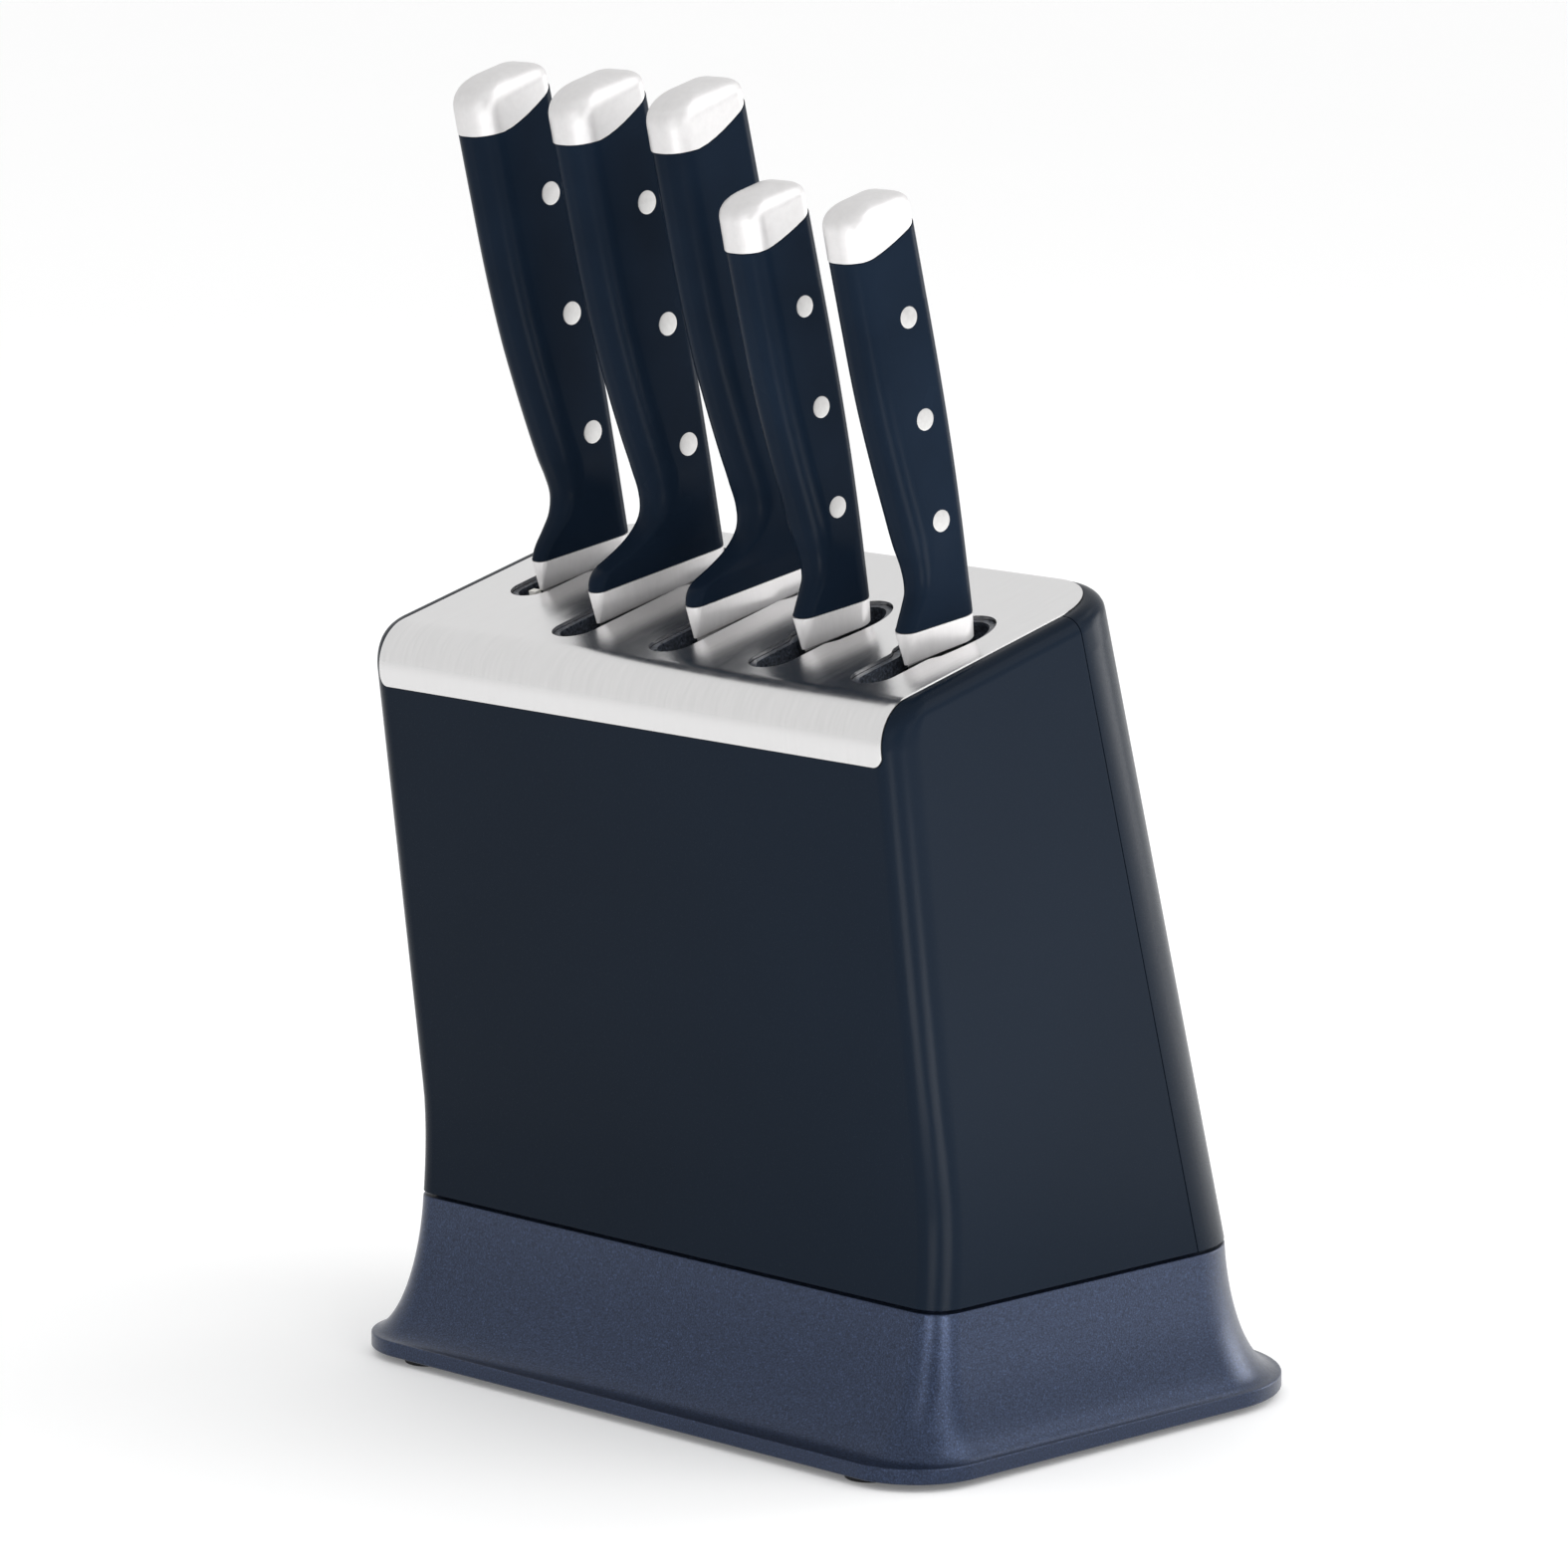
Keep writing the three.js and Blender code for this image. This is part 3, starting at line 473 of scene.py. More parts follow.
def blade_finish():
    """Greyer steel of the blades, ground from spine to edge."""
    finish = Finish("blade_steel", metallic=1.0)
    ground = finish.noise(900, 2, (1, 0.05, 1), KNIFE_LEAN, 0.65)
    finish.colour(ground, [(0.3, (0.27, 0.27, 0.275)), (0.7, (0.34, 0.34, 0.345))])
    finish.rough(ground, 0.27, 0.34)
    finish.relief(ground, 0.04, 0.000004)
    return finish.material


def cap_finish():
    """Bright satin end caps."""
    finish = Finish("cap_steel", metallic=0.5)
    fine = finish.noise(500, 2, roughness=0.6)
    finish.colour(fine, [(0.3, (0.615, 0.605, 0.605)), (0.7, (0.65, 0.64, 0.64))])
    finish.rough(fine, 0.40, 0.43)
    finish.relief(fine, 0.02, 0.000003)
    return finish.material


def rivet_finish():
    """Greyer satin rivet heads, flush with the grips."""
    finish = Finish("rivet_steel", metallic=1.0)
    fine = finish.noise(800, 2, roughness=0.6)
    finish.colour(fine, [(0.3, (0.47, 0.465, 0.46)), (0.7, (0.52, 0.515, 0.51))])
    finish.rough(fine, 0.36, 0.42)
    return finish.material


def handle_finish():
    """Dark navy polymer grips, satin, faintly uneven."""
    navy = (0.0058, 0.0112, 0.0212)
    finish = Finish("handle_polymer", specular=0.025)
    broad = finish.noise(40, 3)
    finish.colour(broad, [(0.3, shade(navy, 0.9)), (0.7, shade(navy, 1.15))])
    fine = finish.noise(1400, 2)
    finish.rough(broad, 0.22, 0.28)
    finish.relief(fine, 0.03, 0.00001)
    finish.relief(finish.noise(70, 2), 0.04, 0.0002)
    return finish.material


def collar_finish():
    """Grey-navy moulding with a coarse spark texture."""
    navy = (0.034, 0.040, 0.053)
    finish = Finish("collar_moulding", specular=0.45)
    speckle = finish.noise(1300, 2, roughness=0.75)
    stops = [(0.34, shade(navy, 0.35)), (0.5, navy), (0.62, shade(navy, 1.9)), (0.74, shade(navy, 3.5))]
    finish.colour(speckle, stops)
    finish.rough(finish.noise(500, 2), 0.26, 0.36)
    finish.relief(speckle, 0.2, 0.00006)
    return finish.material


def ceramic_finish():
    """Off-white matt ceramic of the sharpening blocks."""
    finish = Finish("sharpener_ceramic", specular=0.5)
    fine = finish.noise(700, 3)
    finish.colour(fine, [(0.3, (0.74, 0.72, 0.67)), (0.7, (0.86, 0.85, 0.81))])
    finish.rough(fine, 0.5, 0.7)
    finish.relief(fine, 0.15, 0.00008)
    return finish.material


def rubber_finish():
    """Near-black matt rubber of the feet."""
    finish = Finish("foot_rubber", specular=0.3)
    fine = finish.noise(900, 2)
    finish.colour(fine, [(0.3, (0.016, 0.017, 0.019)), (0.7, (0.03, 0.031, 0.034))])
    finish.rough(fine, 0.75, 0.95)
    finish.relief(fine, 0.3, 0.0001)
    return finish.material


HOUSING = housing_finish()
LACQUER = plinth_finish()
PLATE_STEEL = plate_finish()
FORGED = forged_finish()
BLADE_STEEL = blade_finish()
CAP_STEEL = cap_finish()
RIVET_STEEL = rivet_finish()
HANDLE = handle_finish()
COLLAR = collar_finish()
CERAMIC = ceramic_finish()
RUBBER = rubber_finish()


# ---------------- Base ----------------

def flare_share(w):
    """Share of the full flare, w from 1 at the lip to 0 at the seam."""
    return lerp(1 - math.sqrt(max(1 - w * w, 0)), w, FLARE_LEAN)


def level(box, z, segments=16):
    return [(x, y, z) for x, y in rounded(box, segments)]


def build_base():
    top = SEAM_Z - SEAM_GAP / 2
    rings = []
    for i in range(5):
        turn = math.radians(90 * i / 4)
        z = LIP_BOTTOM + LIP_EDGE * (1 - math.cos(turn))
        rings.append(level(inset(LIP, LIP_EDGE * (1 - math.sin(turn))), z))
    for i in range(5):
        turn = math.radians(90 * i / 4)
        z = LIP_TOP - LIP_EDGE * (1 - math.sin(turn))
        rings.append(level(inset(LIP, LIP_EDGE * (1 - math.cos(turn))), z))
    width = LIP["half"] - SEAM["half"]
    for i in range(1, FLARE_STEPS):
        w = math.sin(math.radians(90 * (1 - i / FLARE_STEPS)))
        z = lerp(SEAM_Z, LIP_TOP, w)
        if z > top - SEAM_EDGE:
            break
        share = flare_share(w)
        if share * width > width - LIP_EDGE:
            continue
        rings.append(level(blend(SEAM, LIP, share), z))
    near = blend(SEAM, LIP, flare_share((SEAM_Z - top) / (SEAM_Z - LIP_TOP)))
    for i in range(4):
        turn = math.radians(90 * i / 3)
        z = top - SEAM_EDGE * (1 - math.sin(turn))
        rings.append(level(inset(near, SEAM_EDGE * (1 - math.cos(turn))), z))
    neck = inset(SEAM, NECK_INSET)
    neck_hollow = inset(neck, NECK_WALL)
    neck_top = top + SEAM_GAP + NECK_REACH
    for box, z in [(neck, top), (neck, neck_top), (neck_hollow, neck_top), (neck_hollow, top - NECK_REACH)]:
        rings.append(level(box, z))
    for i in range(9):
        w = math.sin(math.radians(90 * i / 8))
        z = lerp(SEAM_Z - HOLLOW_DROP, LIP_TOP, w)
        rings.append(level(inset(blend(SEAM, LIP, flare_share(w)), FLARE_WALL), z))
    rings.append(level(inset(LIP, PLINTH_WALL), LIP_BOTTOM + 1))
    rings.append(level(inset(LIP, PLINTH_WALL), LIP_BOTTOM))
    piece = ring_loft("base_flare", rings)
    soften(piece, 0)
    place(piece, LACQUER, "block", "base_plinth")


def foot_pad(name, node, segments=40):
    """Round pad with a rounded lower edge, in the place of a CAD foot."""
    low, high = box_mm(node)
    centre = (low + high) / 2
    radius = (high.x - low.x) / 2
    profile = []
    for i in range(5):
        turn = math.radians(90 * i / 4)
        profile.append((radius - FOOT_EDGE * (1 - math.sin(turn)), low.z + FOOT_EDGE * (1 - math.cos(turn))))
    profile.append((radius, high.z))
    rings = []
    for r, z in profile:
        rings.append([(centre.x + r * math.cos(2 * math.pi * k / segments),
                       centre.y + r * math.sin(2 * math.pi * k / segments), z) for k in range(segments)])
    return soften(loft(name, rings), 0)


def build_feet():
    for i in range(1, 5):
        pad = foot_pad(f"rubber_foot_{i}", f"foot_{i}")
        place(pad, RUBBER, "block", f"foot_{i}")


# ---------------- Housing ----------------

def top_plane_z(y, depth):
    return TOP_Z + math.tan(TOP_SLOPE) * y - depth / math.cos(TOP_SLOPE)


def front_y(z):
    straight = FRONT_Y + (PLATE_LOWER_Z - z) * math.tan(FRONT_LEAN)
    below = max(SEAM_Z + SWEEP_HEIGHT - z, 0) / SWEEP_HEIGHT
    return straight - SWEEP_DEPTH * below ** SWEEP_POWER


def back_y(z):
    return SEAM["back"] - (z - SEAM_Z) * math.tan(BACK_LEAN)


def bend_centre():
    rise, run = math.tan(TOP_SLOPE), math.tan(FRONT_LEAN)
    top_z = TOP_Z - BEND_RADIUS / math.cos(TOP_SLOPE)
    at_zero = FRONT_Y + PLATE_LOWER_Z * run + BEND_RADIUS / math.cos(FRONT_LEAN)
    return (at_zero - run * top_z) / (1 + run * rise)


BEND_Y = bend_centre()
BEND_TURN = math.pi / 2 - TOP_SLOPE + FRONT_LEAN


def meet(face, height, slope):
    """y where the line z = height + slope * y meets a leaning face y = face(z)."""
    y = face(height)
    for _ in range(12):
        y = face(height + slope * y)
    return y


def housing_form(name, wall, low, segments=14, lower_steps=26, bend_steps=30):
    """The housing's closed outer form, drawn in by wall on every side."""
    radius = BEND_RADIUS - wall
    edge = max(EDGE_RADIUS - wall, LEAST_EDGE)
    rise = math.tan(TOP_SLOPE)

    def ring(front, back, shrink, height, slope):
        box = {
            "half": SEAM["half"] - wall - shrink,
            "front": front,
            "back": back,
            "front_radius": max(SEAM["front_radius"] - wall - shrink, LEAST_CORNER),
            "back_radius": max(SEAM["back_radius"] - wall - shrink, LEAST_CORNER),
        }
        return [(x, y, height + slope * y) for x, y in rounded(box, segments)]

    rings = []
    bend_depth = radius * (1 - math.cos(BEND_TURN))
    for i in range(lower_steps + 1):
        step = (i / lower_steps) ** 1.5
        height = lerp(low, top_plane_z(0, wall + bend_depth), step)
        slope = rise * step
        front = meet(front_y, height, slope) + wall
        back = meet(back_y, height, slope) - wall
        rings.append(ring(front, back, 0, height, slope))
    for i in range(1, bend_steps + 1):
        angle = BEND_TURN * (1 - i / bend_steps)
        depth = radius * (1 - math.cos(angle))
        shrink = edge - math.sqrt(edge**2 - (edge - depth) ** 2) if depth < edge else 0
        height = top_plane_z(0, wall + depth)
        front = BEND_Y - radius * math.sin(angle + TOP_SLOPE)
        rings.append(ring(front, meet(back_y, height, rise) - wall - shrink, shrink, height, rise))
    return loft(name, rings)


def plate_area(grow):
    """All space over the steel plate's area, rounded at its corners."""
    plan = {
        "half": PLATE_HALF + grow,
        "front": FRONT_Y - 200,
        "back": PLATE_BACK + grow,
        "front_radius": 1,
        "back_radius": PLATE_BACK_RADIUS + grow,
    }
    face = {
        "half": PLATE_HALF + grow,
        "front": PLATE_LOWER_Z - grow,
        "back": 320,
        "front_radius": PLATE_CORNER + grow,
        "back_radius": 1,
    }
    area = prism("plate_area", rounded(plan, 28), 100, 300)
    outline = rounded(face, 12)
    slab = loft("slab", [[(x, 180, z) for x, z in outline], [(x, -180, z) for x, z in outline]])
    return boolean(area, "INTERSECT", [slab])


def parting_slab(side):
    """Everything ahead of (side -1) or behind (side 1) the joint between front shell and rear cover."""
    def joint(z):
        return back_y(z) - PARTING_OFFSET + side * PARTING_GAP / 2

    outline = [(joint(0), 0), (joint(300), 300), (side * 300, 300), (side * 300, 0)]
    if side < 0:
        outline.reverse()
    return loft("parting", [[(-130, y, z) for y, z in outline], [(130, y, z) for y, z in outline]])


def opening_prism(grow):
    return prism("opening", rounded(inset(FRAME_OPENING, -grow), 8), PLATE_LOWER_Z, 300)


def build_housing():
    whole = housing_form("front_housing", 0, HOUSING_LOW)
    inner = housing_form("inner", HOUSING_WALL, HOUSING_LOW - 1, *INNER_STEPS)
    under_plate = housing_form("under_plate", DECK_DEPTH, CUTTER_LOW)
    recess = boolean(plate_area(PLATE_GAP), "DIFFERENCE", [under_plate])
    boolean(whole, "DIFFERENCE", [inner, recess, opening_prism(0)])
    rear = whole.copy()
    rear.data = whole.data.copy()
    rear.name = "rear_housing"
    bpy.context.scene.collection.objects.link(rear)
    boolean(whole, "INTERSECT", [parting_slab(-1)])
    boolean(rear, "INTERSECT", [parting_slab(1)])
    for piece, node in ((whole, "front_shell"), (rear, "rear_cover")):
        soften(piece, MOULDED_EDGE)
        place(piece, HOUSING, "block", node)


# ---------------- Slots and plate ----------------

def knife_matrix(index):
    x = centre_mm(f"{KNIVES[index]['name']}_handle").x
    return Matrix.Translation((x, KNIFE_Y, KNIFE_Z)) @ Matrix.Rotation(KNIFE_LEAN, 4, "X")


def slot_outline(slot, t, arc=14):
    """A straight front part and a wider lobe behind it, drawn in by t."""
    front, neck, back = slot
    half, lobe, nose = SLOT_HALF - t, LOBE_HALF - t, SLOT_NOSE - t
    widest = back - LOBE_LENGTH
    waist = lerp(half, lobe, WAIST_SHARE)
    waist_v = neck + WAIST_BACK + t / 3
    right = []
    for i in range(arc + 1):
        angle = math.radians(90 * i / arc)
        right.append((half * math.sin(angle), front + t + nose * (1 - math.cos(angle))))
    right.append((half, neck - 2 + t / 2))
    for i in range(1, 9):
        share = i / 8
        right.append((lerp(half, waist, smooth(share)), lerp(neck - 1 + t / 2, waist_v, share)))
    for i in range(1, 5):
        share = i / 5
        right.append((lerp(waist, lobe, math.sin(math.radians(90 * share))), lerp(waist_v, widest, share)))
    for i in range(arc + 1):
        angle = math.radians(90 * i / arc)
        right.append((lobe * math.cos(angle), lerp(widest, back - t, math.sin(angle))))
    left = [(-x, v) for x, v in reversed(right[1:-1])]
    return right + left


def slot_prism(index, t, low, high):
    piece = prism("slot", slot_outline(KNIVES[index]["slot"], t), low, high)
    piece.data.transform(knife_matrix(index))
    return piece


def chamfered_slab():
    """Space under the plate's surface, with the two long edges cut off at 45 degrees."""
    edge = PLATE_HALF - PLATE_CHAMFER
    rings = []
    for y in (120, -120):
        top = top_plane_z(y, -PLATE_RAISE) + 0.005
        low = top - PLATE_CHAMFER - 0.5
        rings.append([(-edge, y, top), (edge, y, top), (PLATE_HALF + 0.5, y, low), (PLATE_HALF + 0.5, y, 60),
                      (-PLATE_HALF - 0.5, y, 60), (-PLATE_HALF - 0.5, y, low)])
    return loft("chamfered_slab", rings)


def build_plate():
    sheet = housing_form("steel_top", -PLATE_RAISE, HOUSING_LOW)
    boolean(sheet, "DIFFERENCE", [housing_form("under", PLATE_THICKNESS, CUTTER_LOW)])
    boolean(sheet, "INTERSECT", [plate_area(0), chamfered_slab()])
    boolean(sheet, "DIFFERENCE", [slot_prism(i, 0, -SLOT_REACH, SLOT_REACH) for i in range(len(KNIVES))])
    soften(sheet, PLATE_EDGE)
    place(sheet, PLATE_STEEL, "block", "top_plate")


def build_slot_frame():
    deck = housing_form("slot_collars", DECK_DEPTH, HOUSING_LOW, *COARSE_STEPS)
    under = housing_form("under", DECK_DEPTH + DECK_THICKNESS, CUTTER_LOW, *COARSE_STEPS)
    boolean(deck, "DIFFERENCE", [under])
    boolean(deck, "INTERSECT", [opening_prism(-0.3)])
    rim = housing_form("rim", COLLAR_DROP, HOUSING_LOW, *COARSE_STEPS)
    for i in range(len(KNIVES)):
        collar = slot_prism(i, COLLAR_GAP, COLLAR_BOTTOM, SLOT_REACH)
        boolean(collar, "INTERSECT", [rim], keep=True)
        boolean(deck, "UNION", [collar])
    bpy.data.objects.remove(rim)
    hollow = COLLAR_GAP + COLLAR_WALL
    boolean(deck, "DIFFERENCE", [slot_prism(i, hollow, -SLOT_REACH, SLOT_REACH) for i in range(len(KNIVES))])
    soften(deck, MOULDED_EDGE)
    place(deck, COLLAR, "block", "slot_frame")


# ---------------- Knives ----------------

def egg(section, arc=12):
    """Egg-shaped section of a handle as (x, v) points."""
    back, front, back_half, front_half, back_radius, front_radius = section
    rb, rf = min(back_radius, back_half), min(front_radius, front_half)
    a, b = (back_half - rb, back - rb), (front_half - rf, front + rf)
    distance = math.hypot(a[0] - b[0], a[1] - b[1])
    side = math.atan2(a[1] - b[1], a[0] - b[0]) - math.acos((rf - rb) / distance)
    right = []
    for i in range(arc + 1):
        angle = lerp(-math.pi / 2, side, i / arc)
        right.append((b[0] + rf * math.cos(angle), b[1] + rf * math.sin(angle)))
    for i in range(1, 5):
        share = i / 5
        start = (b[0] + rf * math.cos(side), b[1] + rf * math.sin(side))
        end = (a[0] + rb * math.cos(side), a[1] + rb * math.sin(side))
        right.append((lerp(start[0], end[0], share), lerp(start[1], end[1], share)))
    for i in range(arc + 1):
        angle = lerp(side, math.pi / 2, i / arc)
        right.append((a[0] + rb * math.cos(angle), a[1] + rb * math.sin(angle)))
    left = [(-x, v) for x, v in reversed(right)]
    return right + left


def handle_section(knife, u):
    """Section of the whole handle at a height: the heel thins towards its front."""
    size = knife["size"]
    heel = smooth((GRIP_U - u) / (GRIP_U - BOLSTER_TOP))
    return (
        curve_at(size["spine"], u),
        curve_at(knife["front"], u),
        size["half"],
        lerp(size["half"] - 0.5, size["tip_half"], heel),
        size["spine_radius"],
        lerp(size["belly_radius"], size["tip_half"] - 0.4, heel),
    )


def cap_joint(size, v):
    rise = clamp((v - curve_at(size["spine"], size["top"])) / CAP_RISE + 1)
    return lerp(size["cap_belly"], size["cap_spine"], rise**1.5)


def joint_ring(knife, lift, start, share):
    """Ring whose points run share of the way from the height start up to the end cap's joint."""
    level_ring = egg(handle_section(knife, lerp(start, knife["size"]["cap_belly"], share)))
    return [(x, v, lerp(start, cap_joint(knife["size"], v) + lift, share)) for x, v in level_ring]


def build_handle(knife, matrix):
    size = knife["size"]
    rings = []
    bottom = BOLSTER_TOP + JOINT_GAP
    for i in range(4):
        turn = math.radians(90 * i / 3)
        pull = GRIP_EDGE * (1 - math.sin(turn))
        back, front, back_half, front_half, back_radius, front_radius = handle_section(knife, bottom)
        section = (back - pull, front + pull, back_half - pull, front_half - pull, back_radius, front_radius)
        rings.append([(x, v, bottom + GRIP_EDGE * (1 - math.cos(turn))) for x, v in egg(section)])
    u = bottom + GRIP_EDGE
    start = size["cap_belly"] - CAP_BLEND
    while u < start:
        u += HEEL_STEP if u < GRIP_U else GRIP_STEP
        rings.append([(x, v, min(u, start)) for x, v in egg(handle_section(knife, min(u, start)))])
    for i in range(1, 9):
        rings.append(joint_ring(knife, -JOINT_GAP, start, i / 8))
    piece = loft(f"{knife['name']}_grip", rings)
    piece.data.transform(matrix)
    soften(piece, 0.2, 60)
    place(piece, HANDLE, knife["name"], f"{knife['name']}_handle")


def crown_ring(knife, turn):
    """Ring of the end cap's crown: it closes in on a point nearer the spine as it rises."""
    size = knife["size"]
    section = handle_section(knife, size["top"])
    back, front = section[:2]
    centre = lerp(back, front, DOME_CENTRE)
    reach = math.cos(math.radians(turn)) ** DOME_POWER
    rise = math.sin(math.radians(turn)) ** DOME_POWER
    ring = []
    for x, v in egg(section):
        start = lerp(size["dome_spine"], size["dome_belly"], (v - back) / (front - back))
        ring.append((x * reach, lerp(centre, v, reach), lerp(start, size["top"], rise)))
    return ring


def build_cap(knife, matrix):
    size = knife["size"]
    foot = egg(handle_section(knife, size["top"]))
    crown = crown_ring(knife, 0)
    rings = []
    for i in range(6):
        share = i / 6
        rings.append([(x, v, lerp(cap_joint(size, v) + JOINT_GAP, shoulder[2], share))
                      for (x, v), shoulder in zip(foot, crown)])
    for turn in DOME_TURNS:
        rings.append(crown_ring(knife, turn))
    piece = loft(f"{knife['name']}_pommel", rings)
    piece.data.transform(matrix)
    soften(piece, 0.12, 60)
    place(piece, CAP_STEEL, knife["name"], f"{knife['name']}_end_cap")


def side_at(knife, u, v):
    """Half width of the handle's flat side at (u, v), and how far the side leans."""
    ring = egg(handle_section(knife, u))
    right = [p for p in ring if p[0] > 0]
    pairs = [(a, b) for a, b in zip(right, right[1:]) if min(a[1], b[1]) <= v <= max(a[1], b[1]) and a[0] > 3]
    a, b = pairs[0]
    share = (v - a[1]) / (b[1] - a[1])
    return lerp(a[0], b[0], share), math.atan2(b[0] - a[0], b[1] - a[1])


def build_rivets(knife, matrix):
    """Three rivets through the handle, each a slightly domed head on both sides."""
    inverse = matrix.inverted()
    for number in (1, 2, 3):
        node = f"{knife['name']}_rivet_{number}"
        low, high = box_mm(node)
        local = inverse @ ((low + high) / 2)
        radius = (high.z - low.z) / 2
        half, lean = side_at(knife, local.z, local.y)
        rings = []
        segments = 36
        for side in (1, -1):
            head = RIVET_PROFILE if side > 0 else list(reversed(RIVET_PROFILE))
            for share, rise in head:
                ring = []
                for k in range(segments):
                    angle = 2 * math.pi * k / segments
                    dv, du = radius * share * math.cos(angle), radius * share * math.sin(angle)
                    ring.append((side * (half + rise + dv * math.tan(lean)), local.y + dv, local.z + du))
                rings.append(ring)
        piece = loft(f"{knife['name']}_pin_{number}", rings)
        piece.data.transform(matrix)
        soften(piece, 0)
        place(piece, RIVET_STEEL, knife["name"], node)


def blade_rings(knife):
    """Rings from the blade's root, inside the bolster, down to its tip."""
    length, tip, drop = knife["blade"]
    heel = curve_at(knife["front"], BOLSTER_TOP) + BLADE_HEEL_INSET
    spine = curve_at(knife["size"]["spine"], BOLSTER_TOP) - BLADE_SPINE_INSET
    point = lerp(heel, spine, drop)
    foot = BLADE_ROOT - length
    back = (1 - drop) * tip / 2
    rings = []
    count = 260 if knife["serrated"] else 120
    for i in range(count + 1):
        u = lerp(BLADE_TOP, foot + 0.15, i / count)
        sweep = clamp((foot + tip - u) / tip)
        edge = lerp(heel, point, sweep**BLADE_SWEEP)
        fall = clamp((foot + SPINE_FALL + back - u) / (SPINE_FALL + back))
        ridge = lerp(spine, point, 1 - math.sqrt(max(1 - fall * fall, 0)) if back > 4 else fall**3)
        if knife["serrated"] and u < BLADE_ROOT - TOOTH_START:
            tooth = (1 - abs(math.sin(math.pi * u / TOOTH_PITCH))) ** 2
            edge += TOOTH_DEPTH * tooth * clamp((u - foot) / TOOTH_START)
        ridge = max(ridge, edge + 0.25)
        half = BLADE_HALF * lerp(1.0, BLADE_THINNING, clamp(-u / length))
        depth = ridge - edge
        right = [
            (half * 0.6, ridge),
            (half, ridge - min(0.35, depth * 0.2)),
            (lerp(half, GROUND_HALF, 0.3), ridge - depth * 0.35),
            (lerp(half, GROUND_HALF, 0.68), ridge - depth * 0.7),
            (GROUND_HALF, edge + min(GROUND_HEIGHT, depth * 0.3)),
            (0.02, edge),
        ]
        if depth < 2:
            right = [(x * max(depth / 2, 0.15), v) for x, v in right]
        rings.append([(-x, v, u) for x, v in right] + [(x, v, u) for x, v in reversed(right)])
    return rings


def bolster_ring(knife, share):
    """Ring of the bolster: the handle's section at share 0, drawn in to its narrow foot at 1."""
    top = handle_section(knife, BOLSTER_TOP)
    back, front = top[0] - FOOT_SPINE_INSET, top[1]
    ring = []
    for (x, v), (foot_x, foot_v) in zip(egg(top), egg((back, front, *FOOT_SECTION))):
        foot_u = FOOT_U + FOOT_SLOPE * foot_v + lerp(*FOOT_LIFT, (back - foot_v) / (back - front))
        ring.append((lerp(x, foot_x, share), lerp(v, foot_v, share), lerp(BOLSTER_TOP, foot_u, share)))
    return ring


def build_forging(knife, matrix):
    """Bolster and blade in one piece. The tang, which the handle hides, is left out."""
    steps = 12
    piece = loft(f"{knife['name']}_forging", [bolster_ring(knife, 1 - i / steps) for i in range(steps + 1)])
    blade = loft("blade", list(reversed(blade_rings(knife))))
    boolean(piece, "UNION", [blade])
    piece.data.transform(matrix)
    soften(piece, 0.15, 50)
    inverse = matrix.inverted()
    on_blade = [(inverse @ face.center).z < GREY_STEEL_TOP for face in piece.data.polygons]
    place(piece, FORGED, knife["name"], f"{knife['name']}_blade")
    piece.data.materials.append(BLADE_STEEL)
    for face, below in zip(piece.data.polygons, on_blade):
        face.material_index = 1 if below else 0


def build_knives():
    for index, knife in enumerate(KNIVES):
        matrix = knife_matrix(index)
        build_handle(knife, matrix)
        build_cap(knife, matrix)
        build_rivets(knife, matrix)
        build_forging(knife, matrix)


# ---------------- CAD nodes that stay ----------------

def dress_cad_nodes():
    finishes = {
        "bottom_cover": COLLAR,
        "base_screw": RIVET_STEEL,
        "blade_guide": COLLAR,
        "sharpener": CERAMIC,
    }
    for name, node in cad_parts.items():
        for start, finish in finishes.items():
            if name.startswith(start):
                node.data.materials.clear()
                node.data.materials.append(finish)


# ---------------- Floor, light and camera, in metres ----------------

CAMERA_AZIMUTH, CAMERA_ELEVATION = math.radians(45.492), math.radians(9.703)
CAMERA_PLACE = (1.37462, -1.37016, 0.49188)
CAMERA_LENS = 170.376
BLOCK_MIDDLE = (0, 0, 0.16)
PANEL_CENTRE = (0.085, -0.06)
PANEL_HEIGHT = 0.004
STRIP_SIZE = (0.12, 0.3)


def floor_finish():
    """Matt white paper with a faint glow."""
    white = (0.93, 0.93, 0.93)
    finish = Finish("floor_white", specular=0.2)
    cloud = finish.noise(2, 2)
    finish.colour(cloud, [(0.3, white), (0.7, shade(white, 0.995))])
    finish.rough(cloud, 0.7, 0.72)
    finish.shader.inputs["Emission Color"].default_value = (1, 1, 1, 1)
    finish.shader.inputs["Emission Strength"].default_value = 0.12
    return finish.material


def build_stage():
    floor = new_object("floor", [(-9, -9, 0), (9, -9, 0), (9, 9, 0), (-9, 9, 0)], [(0, 1, 2, 3)])
    floor.data.materials.append(floor_finish())


def area_light(name, location, turn, size, glow):
    """Rectangular light that the camera doesn't see directly."""
    data = bpy.data.lights.new(name, "AREA")
    data.shape = "RECTANGLE"
    data.size, data.size_y = size
    data.energy = glow * math.pi * size[0] * size[1]
    light = bpy.data.objects.new(name, data)
    bpy.context.scene.collection.objects.link(light)
    light.visible_camera = False
    light.location = location
    light.rotation_mode = "QUATERNION"
    light.rotation_quaternion = turn


def around(azimuth, distance, height, centre=(0, 0)):
    """Point round a centre. Azimuth 0 is straight ahead of the front and 90 is on the right."""
    turn = math.radians(azimuth)
    return (centre[0] + distance * math.sin(turn), centre[1] - distance * math.cos(turn), height)


def standing_box(name, azimuth, distance, height, size, glow):
    """Softbox aimed at the middle of the block."""
    location = around(azimuth, distance, height)
    turn = (Vector(BLOCK_MIDDLE) - Vector(location)).to_track_quat("-Z", "Y")
    area_light(name, location, turn, size, glow)


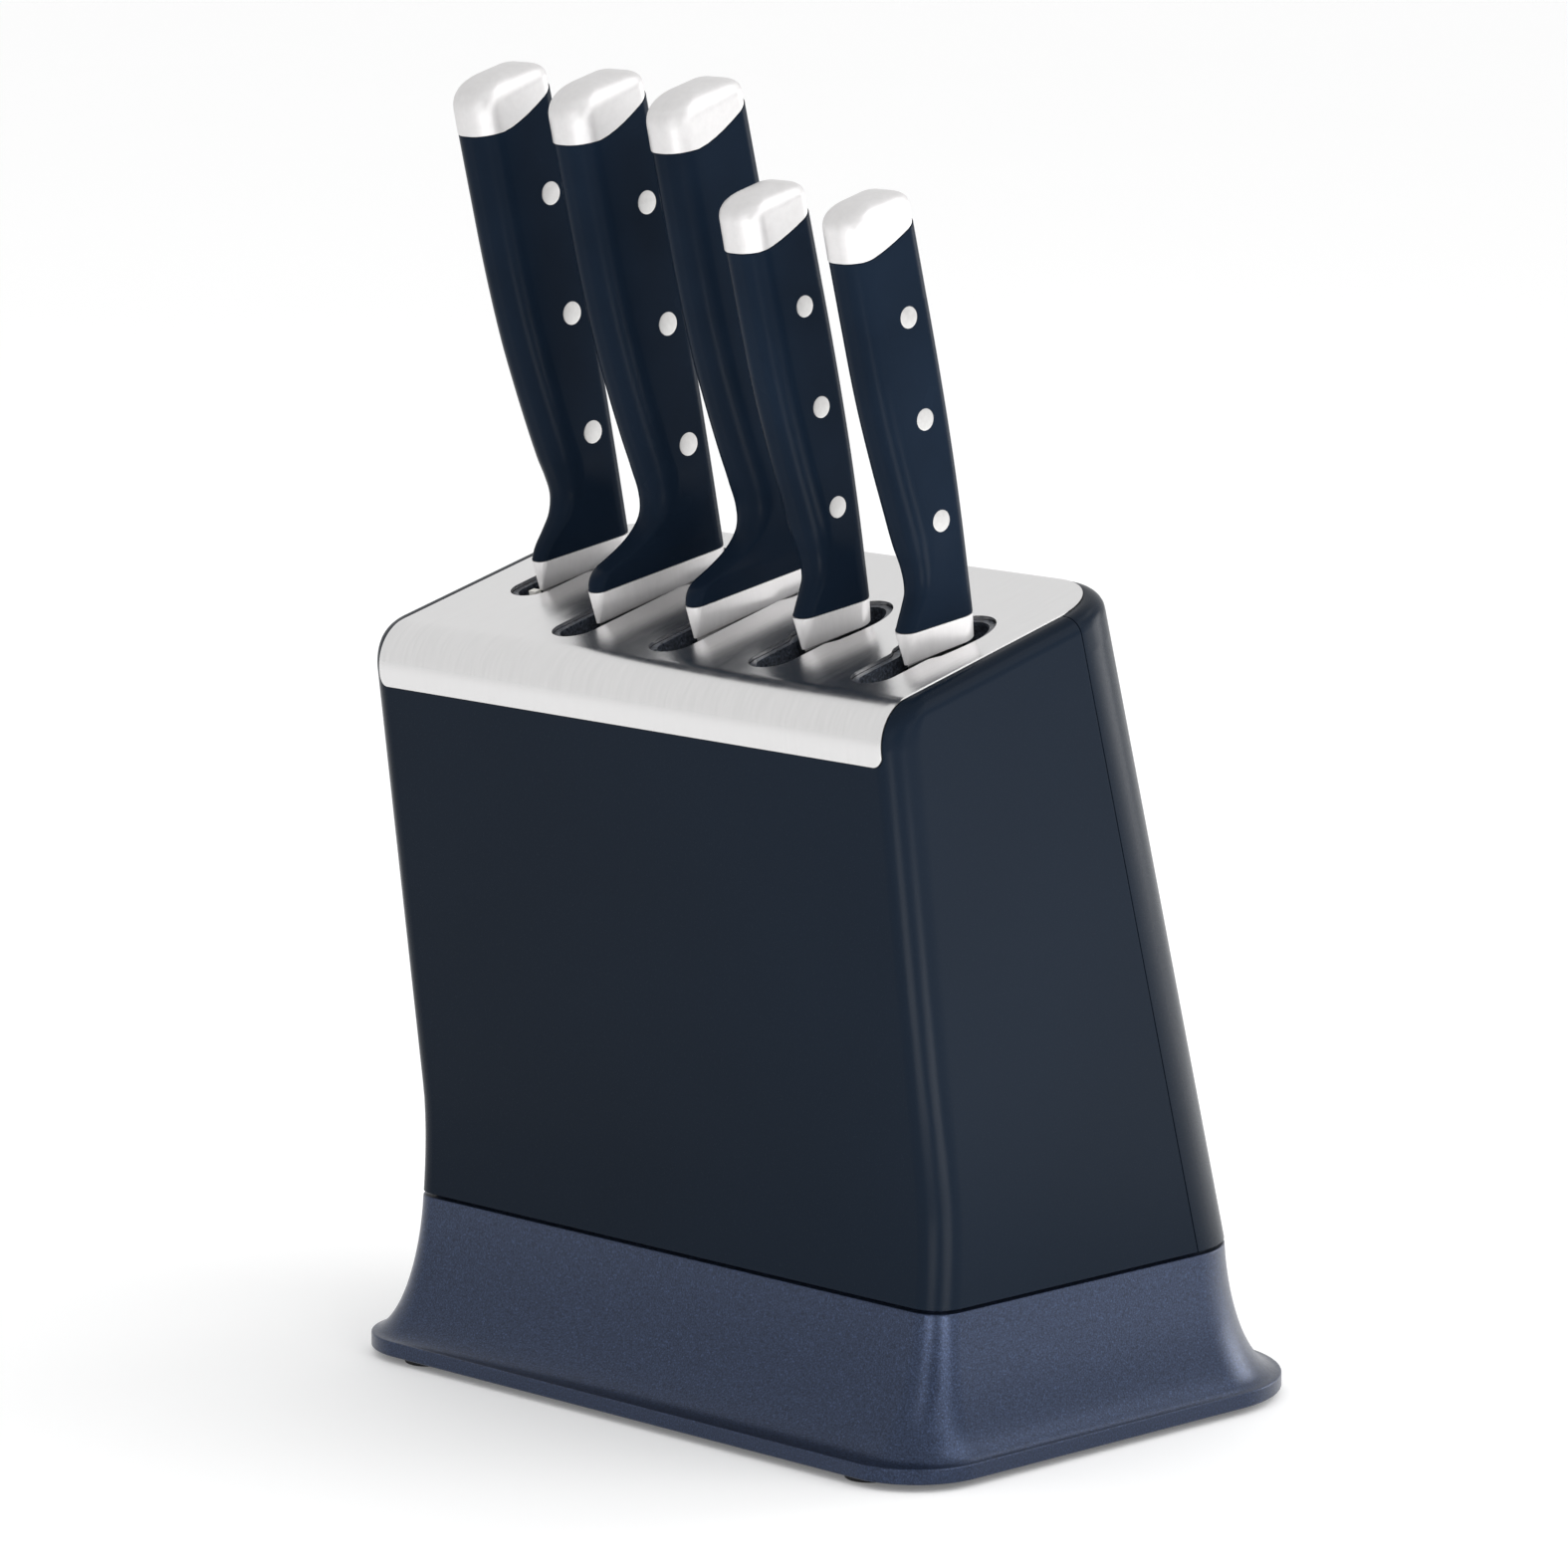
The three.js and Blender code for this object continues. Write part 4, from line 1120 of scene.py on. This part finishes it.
def floor_panel(name, azimuth, size, distance, glow):
    """Light lying on the floor and facing up, turned about the front right corner."""
    location = around(azimuth, distance, PANEL_HEIGHT, PANEL_CENTRE)
    turn = Quaternion((0, 0, 1), math.radians(azimuth)) @ Quaternion((1, 0, 0), math.pi)
    area_light(name, location, turn, size, glow)


def build_world():
    """White surroundings with a dark patch behind the camera."""
    world = bpy.data.worlds.new("studio")
    bpy.context.scene.world = world
    world.use_nodes = True
    nodes, links = world.node_tree.nodes, world.node_tree.links
    direction = nodes.new("ShaderNodeTexCoord")
    towards = nodes.new("ShaderNodeVectorMath")
    towards.operation = "DOT_PRODUCT"
    towards.inputs[1].default_value = (0.713, -0.701, 0)
    links.new(direction.outputs["Generated"], towards.inputs[0])
    span = nodes.new("ShaderNodeMapRange")
    span.interpolation_type = "SMOOTHSTEP"
    span.inputs["From Min"].default_value = 0.91
    span.inputs["From Max"].default_value = 0.992
    span.inputs["To Min"].default_value = 0.92
    span.inputs["To Max"].default_value = 0.22
    links.new(towards.outputs["Value"], span.inputs["Value"])
    links.new(span.outputs["Result"], nodes["Background"].inputs["Color"])


def build_light():
    build_world()
    standing_box("front_box", 19, 1.7, 0.45, (0.6, 0.9), 1.15)
    standing_box("right_box", 75, 1.7, 0.5, (1.0, 0.9), 1.3)
    standing_box("right_high_box", 112, 1.7, 1.5, (1.9, 1.5), 1.7)
    standing_box("rim_box", 166, 1.7, 0.3, (0.6, 0.8), 4)
    standing_box("back_box", 168, 1.4, 1.45, (0.7, 0.35), 1.8)
    floor_panel("front_strip", 24, STRIP_SIZE, 0.34, 8)
    floor_panel("right_strip", 74, STRIP_SIZE, 0.34, 10)
    floor_panel("side_panel", 134, (1.2, 1.3), 0.95, 0.9)
    bpy.context.scene.view_settings.view_transform = "Standard"


def build_camera():
    data = bpy.data.cameras.new("camera")
    data.sensor_width = 36
    data.lens = CAMERA_LENS
    camera = bpy.data.objects.new("camera", data)
    bpy.context.scene.collection.objects.link(camera)
    camera.location = CAMERA_PLACE
    level_reach = math.cos(CAMERA_ELEVATION)
    back = Vector((
        math.sin(CAMERA_AZIMUTH) * level_reach,
        -math.cos(CAMERA_AZIMUTH) * level_reach,
        math.sin(CAMERA_ELEVATION),
    ))
    camera.rotation_mode = "QUATERNION"
    camera.rotation_quaternion = (-back).to_track_quat("-Z", "Y")
    bpy.context.scene.camera = camera


build_camera()
build_light()
build_stage()
build_base()
build_feet()
build_housing()
build_plate()
build_slot_frame()
build_knives()
dress_cad_nodes()
